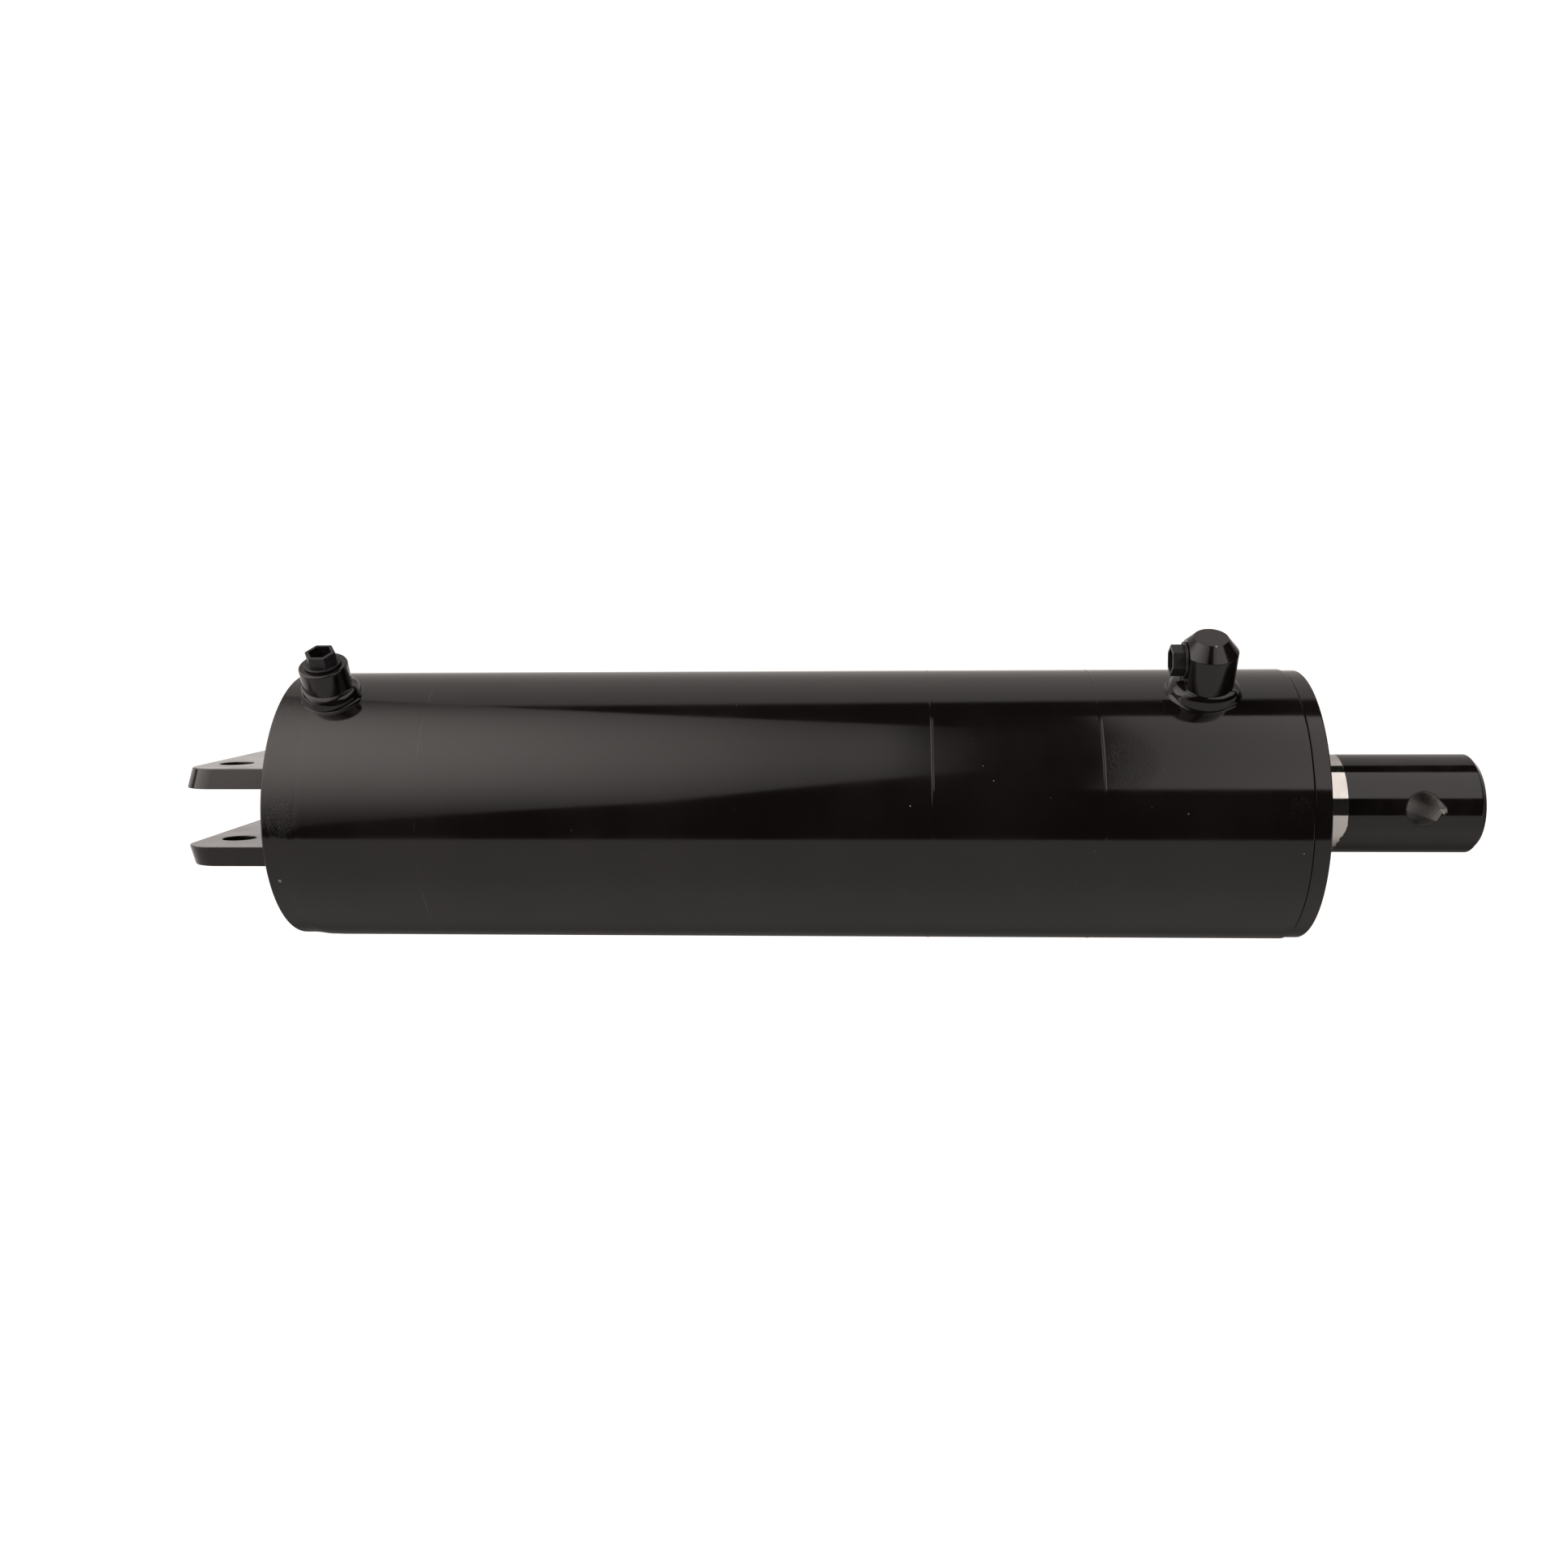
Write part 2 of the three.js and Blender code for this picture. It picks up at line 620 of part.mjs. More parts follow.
function pistonRod() {
  const threadR = PILOT_R - 0.7 - GAP;
  const shoulderX = PISTON_FRONT_X + GAP;
  const rod = turned([
    [NUT_X, 0],
    [NUT_X, threadR - 1.5],
    [NUT_X + 1.5, threadR],
    [PISTON_X - GAP, threadR],
    [PISTON_X, PILOT_R],
    [shoulderX, PILOT_R],
    [shoulderX, ROD_R],
    [ROD_END_X - ROD_END_CHAMFER, ROD_R],
    [ROD_END_X, ROD_R - ROD_END_CHAMFER],
    [ROD_END_X, 0],
  ], ROD_SEGMENTS);
  const front = new THREE.Vector3(PIN_HOLE_X, -ROD_D, 0);
  const back = new THREE.Vector3(PIN_HOLE_X, ROD_D, 0);
  return shaped(rod, { cut: [bar(front, back, PIN_HOLE_D / 2)] });
}

// ---------------------------------------------------------------- materials

const MATERIALS = {
  blackPaint: { color: 0x121110, roughness: 0.18, metalness: 0 },
  chrome: { color: 0xd8d4cf, roughness: 0.08, metalness: 1 },
  blackPlastic: { color: 0x1c1b1b, roughness: 0.5, metalness: 0 },
  steel: { color: 0x8b8d90, roughness: 0.35, metalness: 1 },
  castIron: { color: 0x4a4b4d, roughness: 0.6, metalness: 0.8 },
  rubber: { color: 0x151515, roughness: 0.8, metalness: 0 },
  polyurethane: { color: 0x2b5d8c, roughness: 0.5, metalness: 0 },
  wearBand: { color: 0x8a4b2a, roughness: 0.6, metalness: 0 },
};

// ---------------------------------------------------------------- assembly

const SUB_PARTS = [
  ['barrel_tube', barrelTube(), 'blackPaint'],
  ['base_cap', baseCap(), 'blackPaint'],
  ['base_weld', baseWeld(), 'blackPaint'],
  ['clevis_plate_upper', clevisPlate(1), 'blackPaint'],
  ['clevis_plate_lower', clevisPlate(-1), 'blackPaint'],
  ['clevis_weld_upper', clevisWeld(1), 'blackPaint'],
  ['clevis_weld_lower', clevisWeld(-1), 'blackPaint'],
  ['base_port_boss', basePortBoss(), 'blackPaint'],
  ['base_port_weld', basePortWeld(), 'blackPaint'],
  ['base_port_plug', basePortPlug(), 'blackPlastic'],
  ['rod_port_elbow', rodPortElbow(), 'blackPaint'],
  ['rod_port_weld', rodPortWeld(), 'blackPaint'],
  ['rod_port_plug', rodPortPlug(), 'blackPlastic'],
  ['gland_head', glandHead(), 'blackPaint'],
  ['gland_o_ring', glandORing(), 'rubber'],
  ['gland_backup_ring', glandBackupRing(), 'wearBand'],
  ['rod_wear_ring', rodWearRing(), 'wearBand'],
  ['rod_seal', rodSeal(), 'polyurethane'],
  ['rod_wiper', rodWiper(), 'polyurethane'],
  ['piston_rod', pistonRod(), 'chrome'],
  ['piston', piston(), 'castIron'],
  ['piston_o_ring', pistonORing(), 'rubber'],
  ['piston_nut', pistonNut(), 'steel'],
  ['piston_seal', pistonSeal(), 'polyurethane'],
  ['piston_wear_ring_rear', pistonWearRing(PISTON_GROOVES.rearWearRing), 'wearBand'],
  ['piston_wear_ring_front', pistonWearRing(PISTON_GROOVES.frontWearRing), 'wearBand'],
];

const cylinder = new THREE.Group();
for (const [name, geometry, material] of SUB_PARTS) {
  const mesh = new THREE.Mesh(geometry, new THREE.MeshStandardMaterial(MATERIALS[material]));
  mesh.name = name;
  cylinder.add(mesh);
}

export default cylinder;
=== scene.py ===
"""A welded hydraulic cylinder in gloss black paint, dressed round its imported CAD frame.

Metres. The origin is the middle of the clevis, +X runs along the cylinder towards the rod end,
+Z is square to the clevis plates, and the two ports face up and towards -Y.
"""

import json
import math

import bmesh
import bpy
from mathutils import Euler, Matrix, Vector, noise
from mathutils.geometry import interpolate_bezier


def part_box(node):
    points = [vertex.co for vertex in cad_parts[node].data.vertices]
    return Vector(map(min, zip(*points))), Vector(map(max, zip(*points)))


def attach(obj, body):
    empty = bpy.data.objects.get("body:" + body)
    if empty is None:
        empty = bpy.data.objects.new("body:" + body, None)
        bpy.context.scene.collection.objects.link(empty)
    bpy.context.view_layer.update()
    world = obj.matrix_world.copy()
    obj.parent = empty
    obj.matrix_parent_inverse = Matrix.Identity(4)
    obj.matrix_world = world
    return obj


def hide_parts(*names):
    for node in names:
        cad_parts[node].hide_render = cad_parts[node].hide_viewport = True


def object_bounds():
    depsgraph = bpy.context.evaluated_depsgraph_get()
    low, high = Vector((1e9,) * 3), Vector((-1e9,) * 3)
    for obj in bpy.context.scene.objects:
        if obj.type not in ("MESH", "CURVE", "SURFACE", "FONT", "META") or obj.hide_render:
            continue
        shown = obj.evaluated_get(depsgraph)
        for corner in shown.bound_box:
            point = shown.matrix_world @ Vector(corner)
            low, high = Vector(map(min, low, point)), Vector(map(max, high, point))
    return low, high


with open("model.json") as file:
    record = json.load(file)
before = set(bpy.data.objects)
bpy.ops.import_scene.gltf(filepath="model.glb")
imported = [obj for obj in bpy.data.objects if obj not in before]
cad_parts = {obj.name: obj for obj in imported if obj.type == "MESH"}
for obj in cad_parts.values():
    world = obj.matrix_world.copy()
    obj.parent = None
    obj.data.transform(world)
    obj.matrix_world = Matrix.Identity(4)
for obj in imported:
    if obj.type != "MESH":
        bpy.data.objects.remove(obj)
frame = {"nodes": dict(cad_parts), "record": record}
CAD_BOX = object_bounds()

MM = 0.001
RECORD = frame["record"]
BODY_OF = {node: body for body, nodes in RECORD["behaviour"]["bodies"].items() for node in nodes}

# ---------------------------------------------------------------- places, read from the frame


def reach(node):
    """Where a turned node starts and ends along the cylinder, and its largest radius."""
    low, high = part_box(node)
    return low.x, high.x, high.z


def inner_radius(node):
    """The smallest distance of a node's surface from the cylinder's axis."""
    return min(math.hypot(v.co.y, v.co.z) for v in frame["nodes"][node].data.vertices)


def spread(node, direction):
    """The lowest and highest place of a node's surface along a direction."""
    places = [v.co.dot(direction) for v in frame["nodes"][node].data.vertices]
    return min(places), max(places)


def opening(name):
    """The middle of one of the record's openings."""
    low, high = next(o["box_m"] for o in RECORD["physics"]["openings"] if o["name"] == name)
    return (Vector(low) + Vector(high)) / 2


PORT_ANGLE = math.radians(30)
PORT_OUT = Vector((0, -math.sin(PORT_ANGLE), math.cos(PORT_ANGLE)))
PORT_SIDE = Vector((0, -math.cos(PORT_ANGLE), -math.sin(PORT_ANGLE)))
ALONG = Vector((1, 0, 0))

TUBE_START, TUBE_END, TUBE_R = reach("barrel_tube")
BORE_R = inner_radius("barrel_tube")
CAP_START, CAP_END, CAP_R = reach("base_cap")
WELD_START, WELD_END, _ = reach("base_weld")
GLAND_START, GLAND_FACE, FLANGE_R = reach("gland_head")
ROD_START, ROD_END, ROD_R = reach("piston_rod")
PIN_HOLE = opening("rod_cross_hole")

PORT_R = (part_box("base_port_boss")[1].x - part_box("base_port_boss")[0].x) / 2
BASE_PORT_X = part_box("base_port_boss")[1].x - PORT_R
BOSS_TOP = spread("base_port_boss", PORT_OUT)[1]
ELBOW_R = spread("rod_port_elbow", PORT_SIDE)[1]
ELBOW_TOP = spread("rod_port_elbow", PORT_OUT)[1]
ELBOW_MOUTH_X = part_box("rod_port_elbow")[0].x
ROD_PORT_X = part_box("rod_port_elbow")[1].x - ELBOW_R
MOUTH_HEIGHT = sum(spread("rod_port_plug", PORT_OUT)) / 2

# ---------------------------------------------------------------- sizes that the frame doesn't give

GAP = 0.3 * MM
DRESSED_EDGE = 0.15 * MM
CAP_OFFSET = 0.62 * MM
CAP_SPIGOT_TAPER = 3 * MM
WELD_RISE = (6.5 * MM, 16 * MM)
JOINT_ROOT_DEPTH = 5.4 * MM
DRAW_RINGS = (0.357, 0.439)
DRAW_RING_HEIGHT = 0.13 * MM
DRAW_RING_HALF_WIDTH = 0.9 * MM

PLATE_CORNER_R = 16 * MM
PLATE_RIM_TAPER = 2 * MM
BOLT_HOLE_R = 8.35 * MM

PORT_THREAD_R = 7.8 * MM
PORT_THREAD_DEPTH = 13 * MM
WATERWAY_R = 5.5 * MM
ELBOW_CONE_HEIGHT = 6.9 * MM
ELBOW_CONE_TOP_R = 8.3 * MM

PLUG_FLANGE_R = 9.2 * MM
PLUG_FLANGE_T = 1.2 * MM
PLUG_HEX_R = 7.85 * MM
PLUG_HEX_HEIGHT = 5.9 * MM
PLUG_SOCKET_R = 5.95 * MM
PLUG_SOCKET_DEPTH = 11 * MM
PLUG_SHANK_LENGTH = 9 * MM

SPANNER_HOLE_R = 4 * MM
SPANNER_HOLE_DEPTH = 7 * MM
PIN_HOLE_R = 8.5 * MM
PIN_HOLE_NICK_LENGTH = 2.7 * MM
PIN_HOLE_NICK_DEPTH = 4 * MM
ROD_END_CHAMFER = 3 * MM
ROD_PAINT_START = GLAND_FACE + 21 * MM

DRILL_POINT = 2 * MM
DRESSED_RUN_OUT = 4 * MM
GLAND_NOSE_STEP = 7 * MM
GLAND_LAND_FROM_WATERWAY = 6 * MM
CUT_PAST = 5 * MM
ELBOW_CUT_PAST = 20 * MM

BIG_SEGMENTS = 256
SMALL_SEGMENTS = 96
CORNER_STEPS = 6
SHARP_ANGLE = math.radians(35)
TINY = 1e-9

# ---------------------------------------------------------------- mesh helpers


def mesh_object(name, bm):
    """A new object at the origin from a bmesh, with its faces turned outwards."""
    bmesh.ops.recalc_face_normals(bm, faces=bm.faces)
    mesh = bpy.data.meshes.new(name)
    bm.to_mesh(mesh)
    bm.free()
    obj = bpy.data.objects.new(name, mesh)
    bpy.context.scene.collection.objects.link(obj)
    return obj


def modify(obj, kind, **settings):
    """Adds a modifier and applies it to the mesh."""
    modifier = obj.modifiers.new(kind.lower(), kind)
    for key, value in settings.items():
        setattr(modifier, key, value)
    depsgraph = bpy.context.evaluated_depsgraph_get()
    depsgraph.update()
    mesh = bpy.data.meshes.new_from_object(obj.evaluated_get(depsgraph))
    obj.modifiers.clear()
    obj.data = mesh
    return obj


def combine(obj, other, operation):
    """Joins another solid to obj, or cuts it from obj, and removes it."""
    modify(obj, "BOOLEAN", object=other, operation=operation, solver="EXACT")
    bpy.data.objects.remove(other)
    return obj


def bevel(obj, width, segments=3):
    """Rounds every sharp edge of a solid."""
    return modify(obj, "BEVEL", width=width, segments=segments, limit_method="ANGLE", angle_limit=SHARP_ANGLE)


def rounded(points):
    """A closed outline of (along, radius) from (along, radius, corner radius) points."""
    outline = []
    for i, (x, r, corner) in enumerate(points):
        here = Vector((x, r))
        if corner < TINY:
            outline.append(here)
            continue
        back = (Vector(points[i - 1][:2]) - here).normalized()
        ahead = (Vector(points[(i + 1) % len(points)][:2]) - here).normalized()
        half = back.angle(ahead) / 2
        centre = here + (back + ahead).normalized() * corner / math.sin(half)
        first = here + back * corner / math.tan(half) - centre
        last = here + ahead * corner / math.tan(half) - centre
        sweep = math.pi - 2 * half
        for step in range(CORNER_STEPS + 1):
            t = step / CORNER_STEPS
            spoke = first * math.sin((1 - t) * sweep) + last * math.sin(t * sweep)
            outline.append(centre + spoke / math.sin(sweep))
    return outline


def lathe(name, points, segments=BIG_SEGMENTS, place=None):
    """A solid turned about its local X axis, from a closed outline of (along, radius, corner radius)."""
    bm = bmesh.new()
    rings = []
    for x, r in rounded(points):
        turns = segments if r > TINY else 1
        angles = [2 * math.pi * i / segments for i in range(turns)]
        rings.append([bm.verts.new((x, r * math.cos(a), r * math.sin(a))) for a in angles])
    for near, far in zip(rings, rings[1:] + rings[:1]):
        for i in range(segments):
            pair = (i, (i + 1) % segments)
            corners = [near[k % len(near)] for k in pair] + [far[k % len(far)] for k in reversed(pair)]
            face = list(dict.fromkeys(corners))
            if len(face) > 2:
                bm.faces.new(face)
    if place:
        bmesh.ops.transform(bm, matrix=place, verts=bm.verts)
    return mesh_object(name, bm)


def bar(name, start, end, radius, place, segments=SMALL_SEGMENTS):
    """A plain round bar along the placement's X axis, which most of the cutters are."""
    return lathe(name, [(start, 0, 0), (start, radius, 0), (end, radius, 0), (end, 0, 0)], segments, place)


def loft(name, rings, wrap=False):
    """A solid over rings of points. The rings wrap round, or end in flat caps."""
    bm = bmesh.new()
    loops = [[bm.verts.new(point) for point in ring] for ring in rings]
    following = loops[1:] + (loops[:1] if wrap else [])
    for near, far in zip(loops, following):
        for j in range(len(near)):
            k = (j + 1) % len(near)
            bm.faces.new((near[j], near[k], far[k], far[j]))
    if not wrap:
        bm.faces.new(loops[0])
        bm.faces.new(loops[-1])
    return mesh_object(name, bm)


def frame_along(origin, direction, across):
    """A placement whose local X axis runs along a direction, and whose local Y axis runs across it."""
    rows = Matrix((direction, across, direction.cross(across)))
    return Matrix.Translation(origin) @ rows.transposed().to_4x4()


def prism(name, start, end, corner_r, corners, place):
    """A prism along the local X axis with one corner on the local Y axis."""
    angles = [2 * math.pi * i / corners for i in range(corners)]
    rings = [[place @ Vector((x, corner_r * math.cos(a), corner_r * math.sin(a))) for a in angles]
             for x in (start, end)]
    return loft(name, rings)


def finish_piece(obj, node, material):
    """Shades a piece, gives it its material and puts it in the CAD node's place."""
    obj.data.materials.clear()
    obj.data.materials.append(material)
    obj.data.shade_smooth()
    obj.data.set_sharp_from_angle(angle=SHARP_ANGLE)
    weighted = obj.modifiers.new("weighted_normal", "WEIGHTED_NORMAL")
    weighted.keep_sharp = True
    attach(obj, BODY_OF[node])
    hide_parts(node)
    return obj


# ---------------------------------------------------------------- materials


SEEN_WHITE = 1.2


class Nodes:
    """A node tree under construction, with short calls for the nodes that shape a value."""

    def __init__(self, tree, coordinate):
        self.tree = tree
        self.place = self.node("ShaderNodeTexCoord").outputs[coordinate]
        self.x, self.y, self.z = self.node("ShaderNodeSeparateXYZ", {0: self.place}).outputs

    def put(self, socket, value):
        """Links a socket to another, or sets its value."""
        if isinstance(value, bpy.types.NodeSocket):
            self.tree.links.new(value, socket)
        else:
            socket.default_value = value

    def node(self, kind, inputs=None, **settings):
        made = self.tree.nodes.new(kind)
        for key, value in settings.items():
            setattr(made, key, value)
        for key, value in (inputs or {}).items():
            self.put(made.inputs[key], value)
        return made

    def maths(self, operation, a, b=0.0):
        return self.node("ShaderNodeMath", {0: a, 1: b}, operation=operation).outputs[0]

    def vector(self, operation, a, b=(0, 0, 0)):
        return self.node("ShaderNodeVectorMath", {0: a, 1: b}, operation=operation).outputs

    def fit(self, value, low, high, to_low=0.0, to_high=1.0):
        """Maps a range smoothly to another, and holds its ends."""
        inputs = {"Value": value, "From Min": low, "From Max": high, "To Min": to_low, "To Max": to_high}
        return self.node("ShaderNodeMapRange", inputs, interpolation_type="SMOOTHSTEP").outputs["Result"]

    def seen_white(self):
        """SEEN_WHITE to the camera, and 0 to reflections."""
        seen = self.node("ShaderNodeLightPath").outputs["Is Camera Ray"]
        return self.maths("MULTIPLY", seen, SEEN_WHITE)


class Surface(Nodes):
    """A Principled material under construction. Its detail is set in metres on the piece."""

    def __init__(self, name, metallic=0.0, ior=1.5):
        self.material = bpy.data.materials.new(name)
        self.material.use_nodes = True
        super().__init__(self.material.node_tree, "Object")
        self.shader = self.tree.nodes["Principled BSDF"]
        self.shader.inputs["IOR"].default_value = ior
        self.shader.inputs["Metallic"].default_value = metallic
        self.normal = None

    def grain(self, size, detail=2.0, stretch=(1, 1, 1), offset=0.0):
        """Noise from 0 to 1 with features of a size in metres, drawn out by stretch along each axis."""
        factors = [1 / (size * s) for s in stretch]
        inputs = {0: self.place, 1: factors, 2: (offset, offset, offset)}
        place = self.node("ShaderNodeVectorMath", inputs, operation="MULTIPLY_ADD").outputs[0]
        inputs = {"Vector": place, "Scale": 1.0, "Detail": detail, "Roughness": 0.55}
        return self.node("ShaderNodeTexNoise", inputs).outputs[0]

    def spots(self, size, share):
        """1 in scattered round spots about a size apart, 0 elsewhere. share is a spot's part of its cell."""
        cells = self.node("ShaderNodeTexVoronoi", {"Vector": self.place, "Scale": 1 / size})
        return self.fit(cells.outputs["Distance"], share * 0.6, share, 1.0, 0.0)

    def near_point(self, point, radius):
        """1 at a point, falling to 0 at a radius from it."""
        away = self.vector("DISTANCE", self.place, point)["Value"]
        return self.fit(away, radius * 0.5, radius, 1.0, 0.0)

    def near_ring(self, x, half_width):
        """1 on a ring round the cylinder at x, and 0 beyond its half width."""
        away = self.maths("ABSOLUTE", self.maths("SUBTRACT", self.x, x))
        return self.fit(away, half_width * 0.4, half_width, 1.0, 0.0)

    def blend(self, factor, a, b):
        """Mixes two colours."""
        mix = self.node("ShaderNodeMix", {0: factor}, data_type="RGBA")
        self.put(mix.inputs[6], a)
        self.put(mix.inputs[7], b)
        return mix.outputs[2]

    def lerp(self, factor, a, b):
        """Mixes two numbers."""
        return self.node("ShaderNodeMix", {0: factor, 2: a, 3: b}).outputs[0]

    def bump(self, height, distance):
        """Adds relief to the surface. distance is how far a height of 1 stands out, in metres."""
        inputs = {"Height": height, "Distance": distance, "Strength": 1.0}
        if self.normal:
            inputs["Normal"] = self.normal
        self.normal = self.node("ShaderNodeBump", inputs).outputs["Normal"]

    def done(self, colour, roughness):
        self.put(self.shader.inputs["Base Color"], colour)
        self.put(self.shader.inputs["Roughness"], roughness)
        if self.normal:
            self.put(self.shader.inputs["Normal"], self.normal)
        return self.material


PAINT_IOR = 1.5
PAINT_BLACK = (0.0054, 0.0042, 0.0038, 1)
PAINT_DUSTY = (0.0098, 0.0080, 0.0074, 1)
BARE_SPECK = (0.34, 0.32, 0.30, 1)
GREY_PRIMER = (0.27, 0.255, 0.245, 1)
PALE_PRIMER = (0.45, 0.43, 0.415, 1)
CHROME = (0.62, 0.595, 0.57, 1)
CHROME_SMUDGED = (0.53, 0.51, 0.49, 1)
PLASTIC_BLACK = (0.0085, 0.0080, 0.0085, 1)
PLASTIC_WORN = (0.016, 0.0155, 0.016, 1)


def on_tube(x, degrees):
    """A point on the tube's surface. Degrees run up from -Y, over +Z."""
    angle = math.radians(degrees)
    return Vector((x, -TUBE_R * math.cos(angle), TUBE_R * math.sin(angle)))


# Chips in the tube's paint: how far along, how high up the front in degrees, and how wide.
PAINT_CHIPS = (
    (0.033, -27.0, 1.25 * MM),
    (0.346, 6.0, 0.45 * MM),
    (0.533, -13.0, 0.4 * MM),
    (0.478, 3.0, 0.4 * MM),
    (0.381, 22.0, 0.3 * MM),
    (0.386, 16.0, 0.35 * MM),
)
# A painted highlight: a bare-coloured speck on the elbow's top rim, standing in for a glint there.
ELBOW_RIM_PAINTED_HIGHLIGHT = ALONG * (ROD_PORT_X + 0.8 * MM) + PORT_OUT * ELBOW_TOP + PORT_SIDE * ELBOW_CONE_TOP_R
# Pitted patches of the tube: how far along, how high up the front in degrees, how wide and how deep.
ROUGH_PATCHES = (
    (0.4515, 24.0, 16 * MM, 12e-6),
    (0.531, 4.0, 9 * MM, 14e-6),
    (CAP_START + 10 * MM, 2.0, 12 * MM, 35e-6),
)
SCRATCH_RING_X = 0.104
DRESSED_ZONE_END = WELD_END + 2 * MM


def orange_peel(surface):
    """The slight waviness that sprayed gloss paint dries with."""
    surface.bump(surface.grain(9 * MM, 1.0), 7e-6)
    surface.bump(surface.grain(1.3 * MM, 2.0, offset=3.0), 6e-7)


def tube_paint():
    """Gloss black over a turned tube: peel, faint turning marks, a dressed base zone, chips and dust."""
    s = Surface("tube_paint", ior=PAINT_IOR)
    orange_peel(s)
    turning = s.grain(0.5 * MM, 2.0, stretch=(1, 60, 60))
    s.bump(turning, 9e-7)

    dressed = s.fit(s.x, DRESSED_ZONE_END - 6 * MM, DRESSED_ZONE_END, 1.0, 0.0)
    gouges = s.fit(s.grain(2.2 * MM, 3.0, stretch=(1, 3, 3), offset=7.0), 0.45, 0.75)
    s.bump(s.maths("MULTIPLY", dressed, gouges), 2.5e-5)

    pitted = 0.0
    for x, degrees, width, depth in ROUGH_PATCHES:
        pits = s.fit(s.grain(0.8 * MM, 3.0, offset=11.0), 0.48, 0.62)
        patch = s.maths("MULTIPLY", s.near_point(on_tube(x, degrees), width), pits)
        s.bump(patch, depth)
        pitted = s.maths("MAXIMUM", pitted, patch)

    chips = 0.0
    for x, degrees, width in PAINT_CHIPS:
        ragged = s.fit(s.grain(0.35 * MM, 3.0), 0.38, 0.52)
        chip = s.maths("MULTIPLY", s.near_point(on_tube(x, degrees), width), ragged)
        chips = s.maths("MAXIMUM", chips, chip)
    broken = s.fit(s.grain(15 * MM), 0.4, 0.65, 0.0, 0.1)
    ring = s.maths("MULTIPLY", s.near_ring(SCRATCH_RING_X, 0.25 * MM), broken)
    dust = s.maths("MULTIPLY", s.spots(9 * MM, 0.022), 0.5)
    bare = s.maths("MAXIMUM", s.maths("MAXIMUM", chips, ring), dust)

    film = s.fit(s.grain(60 * MM, 4.0, offset=5.0), 0.35, 0.75)
    colour = s.blend(bare, s.blend(film, PAINT_BLACK, PAINT_DUSTY), BARE_SPECK)
    roughness = s.lerp(film, 0.085, 0.13)
    roughness = s.lerp(pitted, roughness, 0.24)
    roughness = s.lerp(bare, roughness, 0.6)
    return s.done(colour, roughness)


def fitting_paint():
    """Gloss black on the ports and welds, where it lies thicker."""
    s = Surface("fitting_paint", ior=PAINT_IOR)
    orange_peel(s)
    s.bump(s.grain(3 * MM, 2.0, offset=2.0), 6e-6)
    film = s.fit(s.grain(12 * MM, 3.0), 0.35, 0.75)
    dust = s.maths("MULTIPLY", s.spots(4 * MM, 0.03), 0.4)
    # Dust specks, and the painted highlight on the elbow's top rim, both in a bare colour.
    worn = s.maths("MAXIMUM", dust, s.near_point(ELBOW_RIM_PAINTED_HIGHLIGHT, 0.7 * MM))
    colour = s.blend(worn, s.blend(film, PAINT_BLACK, PAINT_DUSTY), BARE_SPECK)
    return s.done(colour, s.lerp(film, 0.08, 0.14))


def plate_paint():
    """Gloss black on flame-cut plate: rolled faces, and fine drag lines down the cut rim."""
    s = Surface("plate_paint", ior=PAINT_IOR)
    orange_peel(s)
    facing = s.node("ShaderNodeSeparateXYZ", {0: s.node("ShaderNodeNewGeometry").outputs["Normal"]})
    rim = s.fit(s.maths("ABSOLUTE", facing.outputs[2]), 0.4, 0.8, 1.0, 0.0)
    drag = s.grain(1.1 * MM, 2.0, stretch=(1, 1, 14))
    s.bump(s.maths("MULTIPLY", rim, drag), 2.2e-5)
    scale = s.grain(5 * MM, 4.0, offset=9.0)
    s.bump(scale, 8e-6)
    film = s.fit(s.grain(20 * MM, 4.0, offset=1.0), 0.3, 0.75)
    dust = s.maths("MULTIPLY", s.spots(6 * MM, 0.03), 0.4)
    colour = s.blend(dust, s.blend(film, PAINT_BLACK, PAINT_DUSTY), BARE_SPECK)
    return s.done(colour, s.lerp(film, 0.12, 0.2))


PIN_HOLE_BURR = Vector((PIN_HOLE.x + PIN_HOLE_R + 1.0 * MM, -ROD_R + MM, -0.6 * MM))


def rod_paint_mask(s):
    """1 where the rod is painted. The paint's edge is ragged and comes back towards the gland below."""
    ragged = s.maths("MULTIPLY", s.fit(s.z, -22 * MM, -4 * MM, 1.0, 0.04), 5 * MM)
    wander = s.maths("MULTIPLY", s.maths("SUBTRACT", s.grain(2.2 * MM, 4.0), 0.5), ragged)
    sag = s.fit(s.z, -ROD_R, -8 * MM, 4.5 * MM, 0.0)
    edge = s.maths("SUBTRACT", s.maths("ADD", s.maths("ADD", s.x, sag), wander), ROD_PAINT_START)
    return s.fit(edge, -0.05 * MM, 0.05 * MM)


def pin_hole_masks(s):
    """Two masks for the rod's cross hole: its inside with the torn rim, and the dull paint round it."""
    from_pin = s.vector("SUBTRACT", s.place, (PIN_HOLE.x, 0, 0))[0]
    distance = s.vector("LENGTH", s.vector("MULTIPLY", from_pin, (1, 0, 1))[0])["Value"]
    in_hole = s.fit(distance, PIN_HOLE_R + 0.02 * MM, PIN_HOLE_R + 0.06 * MM, 1.0, 0.0)
    burr = s.maths("MULTIPLY", s.near_point(PIN_HOLE_BURR, 2.6 * MM), s.fit(s.grain(0.8 * MM), 0.4, 0.55))
    from_axis = s.vector("LENGTH", s.vector("MULTIPLY", s.place, (0, 1, 1))[0])["Value"]
    under_skin = s.fit(from_axis, ROD_R - 0.3 * MM, ROD_R - 0.1 * MM, 1.0, 0.0)
    torn = s.fit(s.maths("MULTIPLY", under_skin, s.near_point(PIN_HOLE_BURR, 9 * MM)), 0.0, 0.3)
    inside = s.maths("MAXIMUM", in_hole, s.maths("MAXIMUM", burr, torn))
    around = s.fit(distance, PIN_HOLE_R + 0.6 * MM, PIN_HOLE_R + 0.8 * MM, 1.0, 0.0)
    return inside, s.maths("SUBTRACT", around, in_hole)


